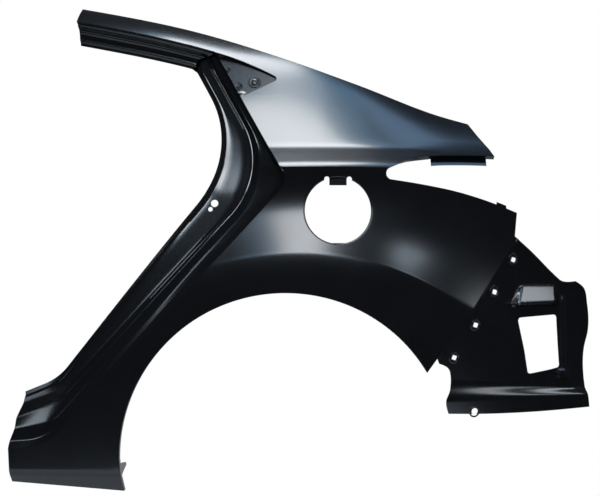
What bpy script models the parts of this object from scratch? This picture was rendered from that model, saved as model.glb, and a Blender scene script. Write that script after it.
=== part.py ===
"""Left rear quarter panel of a four-door saloon, with the pressing that is welded behind its lower rear edge.

X runs to the car's rear, Y runs inboard and Z is up. The origin is the wheel arch's centre, in the upright
plane that touches the panel's outermost line, so the outer face looks towards -Y. Lengths are in metres.
"""

import math
from collections import namedtuple

import bmesh
import bpy
import numpy as np
from mathutils import Vector

# Sheet metal, and the pitch of the faces along its long edges
SHEET = 0.0008
SEAT_GAP = 0.0003
PITCH = 0.026

# Wheel arch, its flare and its lip
ARCH_RADIUS = 0.351
FLARE_WIDTH = 0.087
FLARE_DROP_FRONT = 0.69
FLARE_DROP_REAR = 0.93
FLARE_INSET = 0.0025
FLARE_ROLL_WIDTH = 0.050
FLARE_ROLL_END = 0.290
FLARE_ROLL_FADE = 0.140
LIP_DEPTH = 0.016
LIP_BEND = 0.002
FOOT_TAB_DEPTH = 0.085
FOOT_TAB_TOP = -0.012
FOOT_TAB_HEIGHT = 0.024
FOOT_TAB_RUN_OUT = 0.008

# Filler opening, and the skin that is left above it and below it
FILLER_X = 0.112
FILLER_ABOVE = 0.0225
FILLER_BELOW = 0.0145
FILLER_RADIUS = 0.0735
FILLER_BEND = 0.0025
FILLER_FLANGE = 0.010
FILLER_TAB_WIDTH = 0.037
FILLER_TAB_LENGTH = 0.017
FILLER_RELIEF = 0.011
FILLER_LEDGE_WIDTH = 0.044
FILLER_LEDGE_DEPTH = 0.004

# Shoulder line, high enough over the flare for the filler opening, and the shelf above it
SHOULDER_HEIGHT = ARCH_RADIUS + FLARE_WIDTH + FILLER_BELOW + 2 * FILLER_RADIUS + FILLER_ABOVE
SHOULDER_CREST = 0.090
SHOULDER_SAG = 0.12
SHOULDER_INSET = 0.020
SHELF_HEIGHT = 0.050
SHELF_FALL = 0.012
SHELF_LEAN = 1.6

# Slopes of the skin, inboard for each length upward: the flank at its two edges, the side below the flare at
# its crease and further down, and the pillar in shares of its mean slope and what the roof's roundness adds
UNDER_SHOULDER = -0.30
OVER_FLARE = 0.40
FLARE_ROLL = 0.14
BELOW_FLARE = -0.02
SIDE_CURVE = 0.05
PILLAR_FOOT_SHARE = 0.9
PILLAR_HEAD_SHARE = 1.15
ROOF_ROLL_X = (-0.480, -0.200, -0.016, 0.420)
ROOF_ROLL = (1.7, 1.1, 0.15, 0.0)
CREASE_SOFTNESS = 0.004
SHELF_SOFTNESS = 0.009

# Roof edge from the front of the rail to the tail, as points (x, y, height over the shoulder), and where
# along it the patches of the rail, the recess and the pillar end
ROOF_EDGE = (
    (-0.482, 0.305, 0.389),
    (-0.205, 0.296, 0.331),
    (-0.016, 0.288, 0.2725),
    (0.171, 0.275, 0.2035),
    (0.356, 0.257, 0.130),
    (0.420, 0.250, 0.111),
)
ROOF_MARKS = (-0.150, 0.060, 0.085, 0.200)
ROOF_FLANGE = 0.010

# Tail behind the pillar, its underside and the notch for the lamp, as points (x, height over the shoulder)
TAIL_REAR = ((0.420, 0.111), (0.440, 0.072), (0.458, 0.043), (0.464, 0.028))
TAIL_UNDER = ((0.464, 0.028), (0.384, 0.0285), (0.315, 0.025), (0.269, 0.016))
TAIL_ROOT = 0.2275
TAIL_WALL_DEPTH = 0.030
TAIL_WALL_DROP = 0.006
TAIL_WALL_RUN_IN = 0.070
NOTCH_RADIUS = 0.013
NOTCH_LOWER = ((0.223, -0.0285), (0.2885, -0.0384), (0.3765, -0.056), (0.466, -0.084), (0.505, -0.0993))
EDGE_FLANGE = 0.012

# Rear edge of the flank: upright below its top corner to this point (x, height over the shoulder), then along
# a straight slope to the arch
REAR_BEND = (0.4995, -0.1665)
REAR_SLOPE = 54.1

# Rocker below the dogleg
SILL_LENGTH = 0.233
SILL_BEND_HEIGHT = -0.033
SILL_BEND_RISE = 0.005
SILL_UNDER_REAR = 0.045
SILL_UNDER_FRONT = 0.023
SILL_TURN_UNDER = 1.1
SILL_SOFTNESS = 0.008
FOOT_LEAN = 0.003

# Door aperture: the straight lines of its edge, on the pillar through a point (x, height over the shoulder)
# and on the dogleg
PILLAR_POINT = (-0.102, 0.163)
PILLAR_LEAN = 28.7
LEG_WIDTH = 0.041
DOGLEG_SLOPE = 47.6
DOGLEG_TOP = -0.240
DOGLEG_FOOT = 0.200
ARM_FRONT = -0.483

# Its lines, from the skin's edge inward to the trim edge of the weld flange
Line = namedtuple(
    "Line", "depth arm pillar leg_top leg_foot roof_bend belt_bend sill_bend end_x end_z sill_rise"
)
DOOR_LINES = (
    Line(0.0000, 0.044, 0.0000, 0.000, 0.000, 0.008, 0.110, 0.110, 0.0000, 0.0245, 2),
    Line(0.0130, 0.048, 0.0045, 0.011, 0.011, 0.010, 0.112, 0.100, 0.0000, 0.0370, 5),
    Line(0.0170, 0.053, 0.0140, 0.026, 0.026, 0.012, 0.195, 0.080, 0.0100, 0.0640, 9),
    Line(0.0320, 0.058, 0.0240, 0.044, 0.044, 0.016, 0.180, 0.120, 0.0100, 0.0840, 22),
    Line(0.0360, 0.067, 0.0400, 0.057, 0.058, 0.022, 0.210, 0.120, 0.0240, 0.1150, 20),
    Line(0.0380, 0.080, 0.0500, 0.102, 0.073, 0.028, 0.240, 0.120, 0.0260, 0.1260, 21),
    Line(0.0460, 0.084, 0.0540, 0.106, 0.076, 0.030, 0.238, 0.120, 0.0260, 0.1300, 22),
    Line(0.0480, 0.091, 0.0600, 0.114, 0.081, 0.032, 0.232, 0.120, 0.0250, 0.1380, 22),
)

# How soon, line by line, the aperture leaves the skin's own depth, and the stations its calmer depth runs
# through
DOOR_CALM = (0.0, 0.3, 0.8, 1.0, 1.0, 1.0, 1.0, 1.0)
DOOR_CALM_STATIONS = (0.0, 1.0, 2.0, 2.4, 3.45, 4.5, 5.0, 6.0, 7.0)

# Three-cornered trim recess on the pillar, its tip as (x, height over the shoulder), and the round bosses in
# its floor, from the pillar's point, with their diameters
RECESS_TIP = (-0.012, 0.214)
RECESS_TIP_RADIUS = 0.0085
RECESS_TOP_BOW = 0.005
RECESS_DEPTH = 0.009
RECESS_WALL = 0.003
RECESS_BOSSES = ((-0.016, 0.047, 0.010), (0.004, 0.018, 0.016), (0.035, 0.030, 0.024))
BOSS_PROUD = 0.0015

# Holes in the door aperture's web: station along its lines, share of the way from the web's line to the next,
# and diameter
WEB_HOLES = ((3.883, 0.6, 0.016), (3.940, 0.6, 0.010))
WEB_LINE = 4

# Rear extension: how it seats behind the skin's rear edge, then its outline as points (x, z): the upper edge
# from the bend of the skin's rear edge, the lower and front edges from that edge's lower tip, and the rear edge
# from its own two corners
EXTENSION_OVERLAP = 0.012
EXTENSION_STEP = 0.006
EXTENSION_STEP_WIDTH = 0.008
EXTENSION_LEAN = 0.45
EXTENSION_HIDDEN_TOP = (-0.0095, 0.0245)
EXTENSION_FOOT_CLEARANCE = 0.044
EXTENSION_TOP = ((0.0385, -0.0135), (0.1075, -0.0745), (0.1165, -0.0815), (0.1545, -0.0845))
EXTENSION_REAR_UPPER = ((0.021, -0.015), (0.032, -0.051))
EXTENSION_REAR_LOWER = ((0.005, 0.171), (-0.006, 0.131))
EXTENSION_BOTTOM = ((0.0492, -0.091), (0.1212, -0.095), (0.2422, -0.097), (0.3832, -0.093))
EXTENSION_FRONT = ((0.0272, 0.018), (0.0492, 0.005), (0.0542, -0.014), (0.0522, -0.040), (0.0432, -0.062))
SHELF_TOP = -0.031
SHELF_BOTTOM = -0.065
SHELF_REACH = 0.020

# Vent in the extension, the hood above it and the rib behind it, from the same tip
VENT = ((0.2072, 0.112), (0.3052, 0.116), (0.3102, -0.001), (0.2332, -0.013))
VENT_CORNER = 0.007
HOOD_FRONT = (0.1942, 0.2272)
HOOD_REAR = (0.2992, 0.3252)
HOOD_TOP = 0.175
HOOD_LIP = 0.135
HOOD_UNDERSIDE = 0.008
HOOD_REACH = 0.022
RIB_X = 0.3352
RIB_WIDTH = 0.014
RIB_REACH = 0.005
RIB_TOP = 0.164
RIB_FOOT = -0.031
RIB_RUN_OUT = 0.020

# Square fixing holes in round pads beside the rear edge: the first one's run below the bend, the last one's
# above the hidden foot, and how far behind the edge each lies. Then the foot's round hole, from the same tip
FIXING_COUNT = 4
FIXING_HOLE = 0.0095
FIXING_PAD = 0.026
FIXING_PAD_PROUD = 0.0012
FIRST_FIXING = 0.029
LAST_FIXING = 0.016
FIRST_FIXING_INSET = 0.020
LAST_FIXING_INSET = 0.031
FOOT_HOLE_X = 0.1082
FOOT_HOLE_RISE = 0.006
FOOT_HOLE = 0.014
FOOT_EYE = 0.026

# Small separate pressings
LAMP_BRACKET_INSET = 0.018
LAMP_BRACKET_LENGTH = 0.128
LAMP_BRACKET_HEIGHT = 0.014
LAMP_BRACKET_OUT = 0.009
LAMP_BRACKET_FLANGE = 0.010
CORNER_TAB_INSET = 0.033
CORNER_TAB_WIDTH = 0.022
CORNER_TAB_RISE = 0.007
CORNER_TAB_FOOT = 0.010

# Reach of what cuts through the sheet, from in front of the skin to behind everything
CUT_START = -0.050
CUT_END = 0.400

# Primer, the same on every pressing
PRIMER = (0.012, 0.012, 0.014, 1.0)
PRIMER_ROUGHNESS = 0.28


def heading(degrees):
    """Unit vector in the X-Z plane, at this angle above the rearward direction."""
    return np.array([math.cos(math.radians(degrees)), math.sin(math.radians(degrees))])


def unit(vector):
    return vector / np.linalg.norm(vector)


def flow(stations, values, at):
    """Smooth curve through a few stations: a cubic between each two, and straight on beyond the ends."""
    t, v, at = (np.asarray(a, float) for a in (stations, values, at))
    width = np.diff(t)
    rise = np.diff(v) / width
    slope = np.empty(len(t))
    slope[1:-1] = (rise[:-1] * width[1:] + rise[1:] * width[:-1]) / (width[:-1] + width[1:])
    slope[0] = 1.5 * rise[0] - 0.5 * slope[1] if len(t) > 2 else rise[0]
    slope[-1] = 1.5 * rise[-1] - 0.5 * slope[-2] if len(t) > 2 else rise[-1]
    k = np.clip(np.searchsorted(t, at) - 1, 0, len(t) - 2)
    inside = cubic(at, t[k], v[k], slope[k], t[k + 1], v[k + 1], slope[k + 1])
    before = v[0] + slope[0] * (at - t[0])
    after = v[-1] + slope[-1] * (at - t[-1])
    return np.where(at < t[0], before, np.where(at > t[-1], after, inside))


def cubic(at, start, value, slope, end, end_value, end_slope):
    """Cubic between two stations with a value and a slope at each."""
    width = end - start
    u = (at - start) / width
    return (
        (2 * u**3 - 3 * u**2 + 1) * value
        + (u**3 - 2 * u**2 + u) * width * slope
        + (3 * u**2 - 2 * u**3) * end_value
        + (u**3 - u**2) * width * end_slope
    )


def bow(x, middle, front, rear):
    """Parabola with one curvature in front of its middle and another behind it."""
    return np.where(x < middle, front, rear) * (x - middle) ** 2


def soften(distance, change, width):
    """What rounds a kink of this change of slope over its width to each side."""
    return change / (4 * width) * np.clip(width - np.abs(distance), 0, None) ** 2


def ease(t):
    """Step from 0 to 1 with level ends."""
    t = np.clip(t, 0, 1)
    return t * t * (3 - 2 * t)


def over_shoulder(points):
    """Points (x, height over the shoulder) as points (x, z)."""
    return np.asarray(points, float) + (0, SHOULDER_HEIGHT)


def roof_line(x):
    """Y and Z of the roof edge."""
    stations = np.array(ROOF_EDGE)
    return flow(stations[:, 0], stations[:, 1], x), SHOULDER_HEIGHT + flow(stations[:, 0], stations[:, 2], x)


def shoulder_line(x):
    """Y and Z of the crease along the shoulder."""
    y = SHOULDER_INSET + bow(x, -0.100, 0.04, 0.17)
    return y, SHOULDER_HEIGHT - SHOULDER_SAG * (x - SHOULDER_CREST) ** 2


def flare_line(x):
    """Y and Z of the crease over the wheel arch."""
    y = FLARE_INSET + bow(x, -0.060, 0.01, 0.12)
    return y, ARCH_RADIUS + FLARE_WIDTH - bow(x, 0.031, FLARE_DROP_FRONT, FLARE_DROP_REAR)


def sill_bend_line(x):
    """Z of the line along which the rocker turns under."""
    return SILL_BEND_HEIGHT - SILL_BEND_RISE * (x + ARCH_RADIUS) / SILL_LENGTH


def skin_depth(x, z):
    """Y of the outer skin: side, flank, shelf over the shoulder and pillar, smooth between their creases."""
    shoulder_y, shoulder_z = shoulder_line(x)
    flare_y, flare_z = flare_line(x)
    roof_y, roof_z = roof_line(x)
    shelf_z = SHOULDER_HEIGHT + SHELF_HEIGHT - SHELF_FALL * x
    shelf_y = shoulder_y + SHELF_LEAN * (shelf_z - shoulder_z)
    lean = (roof_y - shelf_y) / (roof_z - shelf_z)
    head_lean = PILLAR_HEAD_SHARE * lean + np.interp(x, ROOF_ROLL_X, ROOF_ROLL)
    pillar = cubic(z, shelf_z, shelf_y, PILLAR_FOOT_SHARE * lean, roof_z, roof_y, head_lean)
    shelf = shoulder_y + SHELF_LEAN * (z - shoulder_z)
    flank = cubic(z, flare_z, flare_y, OVER_FLARE, shoulder_z, shoulder_y, UNDER_SHOULDER)
    down = flare_z - z
    rolled = np.clip(down, 0, FLARE_ROLL_WIDTH)
    side = flare_y - BELOW_FLARE * down + SIDE_CURVE * down**2
    flare_roll = FLARE_ROLL * ease((FLARE_ROLL_END - x) / FLARE_ROLL_FADE)
    side = side - flare_roll * (rolled - rolled**2 / (2 * FLARE_ROLL_WIDTH))
    below = sill_bend_line(x) - z
    side = side + SILL_TURN_UNDER * np.clip(below, 0, None) + soften(below, SILL_TURN_UNDER, SILL_SOFTNESS)
    y = np.where(z > shelf_z, pillar, np.where(z > shoulder_z, shelf, np.where(z > flare_z, flank, side)))
    y = y + soften(z - shelf_z, PILLAR_FOOT_SHARE * lean - SHELF_LEAN, SHELF_SOFTNESS)
    y = y + soften(z - shoulder_z, SHELF_LEAN - UNDER_SHOULDER, CREASE_SOFTNESS)
    return y + soften(z - flare_z, OVER_FLARE - BELOW_FLARE - flare_roll, CREASE_SOFTNESS)


def lift(points):
    """Points (x, z) put onto the skin, as (x, y, z)."""
    x, z = points[..., 0], points[..., 1]
    return np.stack([x, skin_depth(x, z), z], axis=-1)


def along(points, shares):
    """Points at these shares of the length of a row of points."""
    steps = np.linalg.norm(np.diff(points, axis=0), axis=1)
    at = np.concatenate([[0], np.cumsum(steps)]) / steps.sum()
    return np.column_stack([np.interp(shares, at, column) for column in points.T])


def straight(start, end, count):
    """Row of evenly spaced points on a straight line, with this many spaces."""
    return np.linspace(np.asarray(start, float), np.asarray(end, float), count + 1)


def smooth(points, count):
    """Row of evenly spaced points, with this many spaces, on a smooth curve through a few points."""
    points = np.array(points, float)
    chords = np.concatenate([[0], np.cumsum(np.linalg.norm(np.diff(points, axis=0), axis=1))])
    fine = np.linspace(0, chords[-1], 40 * len(points))
    curve = np.column_stack([flow(chords, column, fine) for column in points.T])
    return along(curve, np.linspace(0, 1, count + 1))


def join(*rows):
    """Rows of points one after the other, each starting where the last one ends."""
    return np.concatenate([rows[0]] + [row[1:] for row in rows[1:]])


def crossing(first, direction, second, other_direction):
    """Point where two straight lines in the X-Z plane meet."""
    step = np.linalg.solve(np.column_stack([direction, -other_direction]), second - first)[0]
    return first + direction * step


def bend(before, corner, after, radius):
    """Arc that rounds a corner, as a function of the share of its length."""
    back, on = unit(before - corner), unit(after - corner)
    half = math.acos(np.clip(back @ on, -1, 1)) / 2
    centre = corner + unit(back + on) * radius / math.sin(half)
    start = corner + back * radius / math.tan(half) - centre
    end = corner + on * radius / math.tan(half) - centre
    first = math.atan2(start[1], start[0])
    turn = (math.atan2(end[1], end[0]) - first + math.pi) % (2 * math.pi) - math.pi

    def arc(share):
        angle = first + turn * np.asarray(share, float)
        return centre + radius * np.stack([np.cos(angle), np.sin(angle)], axis=-1)

    return arc


def door_line(line):
    """One line of the door aperture, as a function of a station: 0 to 1 is the arm, 1 to 2 the bend at the
    roof, 2 to 3 the pillar, 3 to 4 the bend at the belt, 4 to 5 the dogleg, 5 to 6 the bend above the sill
    and 6 to 7 the sill."""
    down_pillar = heading(PILLAR_LEAN - 90)
    pillar = over_shoulder(PILLAR_POINT) + line.pillar * heading(PILLAR_LEAN + 180)
    down_leg, into_door = -heading(DOGLEG_SLOPE), heading(DOGLEG_SLOPE + 90)
    foot = into_door * (ARCH_RADIUS + LEG_WIDTH)
    leg_top = foot + down_leg * DOGLEG_TOP + into_door * line.leg_top
    leg_foot = foot + down_leg * DOGLEG_FOOT + into_door * line.leg_foot
    sill_end = np.array([line.end_x - ARCH_RADIUS - SILL_LENGTH, line.end_z])
    roof_corner = pillar
    for _ in range(30):
        rail_height = float(roof_line(roof_corner[0])[1]) - line.arm
        roof_corner = pillar + down_pillar * (rail_height - pillar[1]) / down_pillar[1]
    rail_before = np.array([roof_corner[0] - 0.05, float(roof_line(roof_corner[0] - 0.05)[1]) - line.arm])
    belt_corner = crossing(pillar, down_pillar, leg_top, leg_foot - leg_top)
    sill_corner = crossing(leg_top, leg_foot - leg_top, sill_end, heading(line.sill_rise))
    roof_bend = bend(rail_before, roof_corner, belt_corner, line.roof_bend)
    belt_bend = bend(roof_corner, belt_corner, sill_corner, line.belt_bend)
    sill_bend = bend(belt_corner, sill_corner, sill_end, line.sill_bend)
    arm_end = roof_bend(0)
    lift_end = arm_end[1] - float(roof_line(arm_end[0])[1]) + line.arm

    def arm(share):
        x = ARM_FRONT + (arm_end[0] - ARM_FRONT) * share
        return np.stack([x, roof_line(x)[1] - line.arm + lift_end * share], axis=-1)

    def run(start, end):
        return lambda share: start + (end - start) * np.asarray(share)[..., None]

    stretches = (
        arm,
        roof_bend,
        run(roof_bend(1), belt_bend(0)),
        belt_bend,
        run(belt_bend(1), sill_bend(0)),
        sill_bend,
        run(sill_bend(1), sill_end),
    )

    def at(stations):
        stations = np.atleast_1d(np.asarray(stations, float))
        which = np.clip(stations.astype(int), 0, len(stretches) - 1)
        points = np.empty((len(stations), 2))
        for number, stretch in enumerate(stretches):
            points[which == number] = stretch(stations[which == number] - number)
        return points

    return at


def first_crossing(stations, heights):
    """Station at which a row of heights first falls below zero."""
    k = int(np.argmax(heights < 0))
    share = heights[k - 1] / (heights[k - 1] - heights[k])
    return stations[k - 1] + share * (stations[k] - stations[k - 1])


def door_stations(edge):
    """Stations of the door lines' points, and those where the skin's patches meet along the edge."""
    fine = np.linspace(0, 7, 2801)
    x, z = edge(fine).T
    recess_end = first_crossing(fine, z - over_shoulder(PILLAR_POINT)[1])
    shoulder = first_crossing(fine, z - shoulder_line(x)[1])
    flare = first_crossing(fine, z - flare_line(x)[1])
    marks = sorted({0, 1, 2, 3, 4, 5, 6, 7, recess_end, shoulder, flare})
    stations = []
    for start, end in zip(marks, marks[1:]):
        points = edge(np.linspace(start, end, 20))
        length = np.linalg.norm(np.diff(points, axis=0), axis=1).sum()
        pitch = PITCH if int(start) % 2 == 0 else 0.6 * PITCH
        stations.extend(np.linspace(start, end, math.ceil(length / pitch), endpoint=False))
    stations = np.array(stations + [7.0])
    find = [int(np.argmin(abs(stations - mark))) for mark in (1, recess_end, shoulder, flare, 5)]
    return stations, find


def coons(top, bottom, left, right):
    """Grid of points between four edges: ruled between top and bottom, then bent to meet both sides."""
    v = np.linspace(0, 1, len(left))[:, None, None]
    u = np.linspace(0, 1, len(top))[None, :, None]
    ruled = (1 - v) * top + v * bottom
    return ruled + (1 - u) * (left[:, None] - ruled[:, :1]) + u * (right[:, None] - ruled[:, -1:])


def fold(edge, *moves):
    """Grid of rows that starts at an edge, each row the edge moved by so much."""
    return np.array([edge] + [edge + np.asarray(move, float) for move in moves])


def material(name):
    primer = bpy.data.materials.new(name)
    primer.use_nodes = True
    shader = primer.node_tree.nodes["Principled BSDF"]
    shader.inputs["Base Color"].default_value = PRIMER
    shader.inputs["Roughness"].default_value = PRIMER_ROUGHNESS
    shader.inputs["Metallic"].default_value = 0.0
    primer.diffuse_color = PRIMER
    return primer


def sheet_object(name, grids, collection):
    """One pressing: grids of points welded into an open surface facing outward, with the sheet behind it."""
    shape = bmesh.new()
    for grid in grids:
        rows, columns = grid.shape[:2]
        points = [shape.verts.new(point) for point in grid.reshape(-1, 3)]
        for row in range(rows - 1):
            for column in range(columns - 1):
                k = row * columns + column
                shape.faces.new((points[k], points[k + 1], points[k + columns + 1], points[k + columns]))
    bmesh.ops.remove_doubles(shape, verts=shape.verts, dist=0.00003)
    bmesh.ops.recalc_face_normals(shape, faces=shape.faces)
    if sum(face.normal.y * face.calc_area() for face in shape.faces) > 0:
        bmesh.ops.reverse_faces(shape, faces=shape.faces)
    mesh = bpy.data.meshes.new(name)
    shape.to_mesh(mesh)
    shape.free()
    mesh.shade_smooth()
    mesh.set_sharp_from_angle(angle=math.radians(35))
    made = bpy.data.objects.new(name, mesh)
    collection.objects.link(made)
    made.data.materials.append(material(name))
    solidify = made.modifiers.new("Sheet", "SOLIDIFY")
    solidify.thickness = SHEET
    solidify.offset = -1
    solidify.use_even_offset = True
    return made


def prism(name, outline, collection, start=CUT_START, end=CUT_END):
    """Cutter: an outline (x, z) carried inboard."""
    shape = bmesh.new()
    face = shape.faces.new([shape.verts.new((x, start, z)) for x, z in outline])
    made = bmesh.ops.extrude_face_region(shape, geom=[face])
    moved = [item for item in made["geom"] if isinstance(item, bmesh.types.BMVert)]
    bmesh.ops.translate(shape, verts=moved, vec=(0, end - start, 0))
    bmesh.ops.recalc_face_normals(shape, faces=shape.faces)
    mesh = bpy.data.meshes.new(name)
    shape.to_mesh(mesh)
    shape.free()
    cutter = bpy.data.objects.new(name, mesh)
    cutter.hide_render = True
    cutter.display_type = "WIRE"
    collection.objects.link(cutter)
    return cutter


def disc(x, z, diameter, sides=16):
    angles = np.arange(sides) * 2 * math.pi / sides
    return np.column_stack([x + diameter / 2 * np.cos(angles), z + diameter / 2 * np.sin(angles)])


def turned_square(x, z, side, degrees):
    return [np.array([x, z]) + heading(degrees + 45 + 90 * k) * side / math.sqrt(2) for k in range(4)]


def rounded(corners, radius, count=4):
    """Outline with its corners rounded."""
    corners = [np.array(corner) for corner in corners]
    arcs = []
    for k, corner in enumerate(corners):
        arc = bend(corners[k - 1], corner, corners[(k + 1) % len(corners)], radius)
        arcs.extend(arc(np.linspace(0, 1, count)))
    return arcs


def combine(made, tool, operation):
    boolean = made.modifiers.new(tool.name, "BOOLEAN")
    boolean.object = tool
    boolean.operation = operation
    boolean.solver = "EXACT"
    return boolean


def rear_edge():
    """Corner points of the flank's rear edge: at the notch, at its bend and where it meets the arch."""
    top = over_shoulder(NOTCH_LOWER[-1])
    knee = over_shoulder(REAR_BEND)
    down = -heading(REAR_SLOPE)
    across = knee @ down
    tip = knee + down * (-across - math.sqrt(across**2 - knee @ knee + ARCH_RADIUS**2))
    return top, knee, tip


def quarter_panel(collection, cutters):
    lines = [door_line(line) for line in DOOR_LINES]
    edge = lines[0]
    stations, (recess_start, recess_end, shoulder_end, flare_end, sill_start) = door_stations(edge)
    edge_points = edge(stations)
    grids = []

    # The trim recess: its outline in the skin, and how deep its floor lies along that outline
    opening = recess_end - recess_start
    start, tip, end = edge_points[recess_start], over_shoulder(RECESS_TIP), edge_points[recess_end]
    tip_bend = bend(start, tip, end, RECESS_TIP_RADIUS)
    upper = straight(start, tip_bend(0), 7)
    upper[:, 1] += 4 * RECESS_TOP_BOW * np.linspace(0, 1, 8) * (1 - np.linspace(0, 1, 8))
    outline = join(upper, tip_bend(np.linspace(0, 1, opening + 1)), straight(tip_bend(1), end, 7))
    ramp = ease(8 * np.linspace(0, 1, len(outline))) * ease(8 * np.linspace(1, 0, len(outline)))
    middle = (start + tip + end) / 3
    inward = (middle - outline) / np.linalg.norm(middle - outline, axis=1)[:, None]
    floor_edge = lift(outline + inward * RECESS_WALL * ramp[:, None])
    floor_edge[:, 1] += RECESS_DEPTH * ramp
    grids.append(np.array([lift(outline), floor_edge]))
    door_side = lift(edge_points[recess_start : recess_end + 1])
    share = np.linspace(0, 1, opening + 1)
    door_side[:, 1] += RECESS_DEPTH * ease(4 * share) * ease(4 * (1 - share))
    grids.append(
        coons(floor_edge[:8], floor_edge[:-9:-1], door_side, floor_edge[7 : len(outline) - 7])
    )

    # Roof rail, pillar and tail, ruled from the roof edge to the door's edge
    inner = join(edge_points[: recess_start + 1], outline, edge_points[recess_end : shoulder_end + 1])
    behind = shoulder_end - recess_end
    tail_rear_count = max(2, behind // 6)
    roof_rear_count = (behind - tail_rear_count) // 2
    under_count = behind - tail_rear_count - roof_rear_count
    marks = (ARM_FRONT,) + ROOF_MARKS + (TAIL_REAR[0][0],)
    counts = (recess_start, 7, opening, 7, roof_rear_count)
    roof = join(*[straight((a, 0), (b, 0), count) for a, b, count in zip(marks, marks[1:], counts)])
    roof[:, 1] = roof_line(roof[:, 0])[1]
    tail_rear = smooth(over_shoulder(TAIL_REAR), tail_rear_count)
    tail_root = (TAIL_ROOT, float(shoulder_line(TAIL_ROOT)[1]))
    under = smooth(np.vstack([over_shoulder(TAIL_UNDER), tail_root]), under_count)
    outer = join(roof, tail_rear, under)
    shoulder_x = np.linspace(under[-1, 0], edge_points[shoulder_end, 0], 12)
    shoulder = np.column_stack([shoulder_x, shoulder_line(shoulder_x)[1]])
    shoulder[0], shoulder[-1] = under[-1], edge_points[shoulder_end]
    grids.append(lift(coons(outer, inner, straight(outer[0], inner[0], 11), shoulder)))

    # Flank, as a ring round the filler opening
    rear_top, rear_knee, rear_tip = rear_edge()
    notch_in = (over_shoulder(TAIL_UNDER[-1]), np.array(tail_root))
    notch_out = over_shoulder(NOTCH_LOWER[:2])
    notch_corner = crossing(notch_in[1], notch_in[0] - notch_in[1], notch_out[0], notch_out[1] - notch_out[0])
    notch = bend(notch_in[0], notch_corner, notch_out[1], NOTCH_RADIUS)(np.linspace(0, 1, 5))
    notch = np.concatenate([under[-1:], notch])
    notch_lower = smooth(np.vstack([notch[-1:], over_shoulder(NOTCH_LOWER[1:])]), 12)
    fine = np.linspace(0, 1, 400)[:, None]
    slope = rear_knee + (rear_tip - rear_knee) * fine
    flare_share = first_crossing(fine[:, 0], slope[:, 1] - flare_line(slope[:, 0])[1])
    flare_rear = rear_knee + (rear_tip - rear_knee) * flare_share
    rear_upright = straight(rear_top, rear_knee, 4)
    rear_sloped = straight(rear_knee, flare_rear, 6)
    flare_x = np.linspace(flare_rear[0], edge_points[flare_end, 0], 25)
    flare = np.column_stack([flare_x, flare_line(flare_x)[1]])
    flare[0], flare[-1] = flare_rear, edge_points[flare_end]
    door_side = edge_points[flare_end : shoulder_end - 1 : -1]
    loop = join(shoulder[::-1], notch, notch_lower, rear_upright, rear_sloped, flare, door_side)
    centre = np.array([FILLER_X, float(shoulder_line(FILLER_X)[1]) - FILLER_ABOVE - FILLER_RADIUS])
    angles = np.unwrap(np.arctan2(loop[:, 1] - centre[1], loop[:, 0] - centre[0]))
    evened = angles[0] + (angles[-1] - angles[0]) * np.linspace(0, 1, len(angles))
    angles = 0.5 * angles + 0.5 * evened
    rim = centre + FILLER_RADIUS * np.stack([np.cos(angles), np.sin(angles)], axis=-1)
    shares = (np.linspace(0, 1, 9) ** 1.2)[:, None, None]
    grids.append(lift(rim + (loop - rim) * shares))
    inset = centre + (FILLER_RADIUS - FILLER_BEND) * np.stack([np.cos(angles), np.sin(angles)], axis=-1)
    collar = np.array([lift(rim), lift(inset), lift(inset)])
    collar[1, :, 1] += FILLER_BEND
    collar[2, :, 1] += FILLER_FLANGE
    grids.append(collar)

    # Flare, dogleg and rocker, from the flare's crease and the door's edge to the arch and the rocker's bend
    leg_count = sill_start - flare_end
    sill_count = len(stations) - 1 - sill_start
    tip_angle = math.atan2(rear_tip[1], rear_tip[0])
    leg_angle = math.atan2(edge_points[flare_end, 1], edge_points[flare_end, 0])
    over = np.linspace(tip_angle, leg_angle, len(flare))
    down = np.linspace(leg_angle, math.pi, leg_count - 1)
    arch_angles = np.concatenate([over, down[1:]])
    arch = ARCH_RADIUS * np.stack([np.cos(arch_angles), np.sin(arch_angles)], axis=-1)
    foot = np.array([FOOT_LEAN - ARCH_RADIUS, sill_bend_line(-ARCH_RADIUS)])
    arch_and_foot = join(arch, straight(arch[-1], foot, 2))
    bend_x = np.linspace(foot[0], -ARCH_RADIUS - SILL_LENGTH + 0.002, sill_count + 1)
    rocker_bend = np.column_stack([bend_x, sill_bend_line(bend_x)])
    inner = join(flare, edge_points[flare_end:])
    outer = join(arch_and_foot, rocker_bend)
    rear = straight(flare[0], arch[0], 4)
    front = straight(edge_points[-1], rocker_bend[-1], 4)
    grids.append(lift(coons(inner, outer, rear, front)))
    rocker_edge = rocker_bend.copy()
    under_drop = np.linspace(SILL_UNDER_REAR, SILL_UNDER_FRONT, len(rocker_edge))
    rocker_edge[:, 1] -= under_drop
    turned_under = np.linspace(rocker_bend, rocker_edge, 4)
    grids.append(lift(turned_under))

    # Stepped rebate of the door aperture
    edge_depth = skin_depth(edge_points[:, 0], edge_points[:, 1])
    calm = flow(DOOR_CALM_STATIONS, np.interp(DOOR_CALM_STATIONS, stations, edge_depth), stations)
    rebate = []
    for line, path, share in zip(DOOR_LINES, lines, DOOR_CALM):
        points = path(stations)
        depth = (1 - share) * edge_depth + share * calm + line.depth
        rebate.append(np.column_stack([points[:, 0], depth, points[:, 1]]))
    rebate[0][recess_start : recess_end + 1] = grids[1][:, 0]
    grids.append(np.array(rebate))

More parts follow.
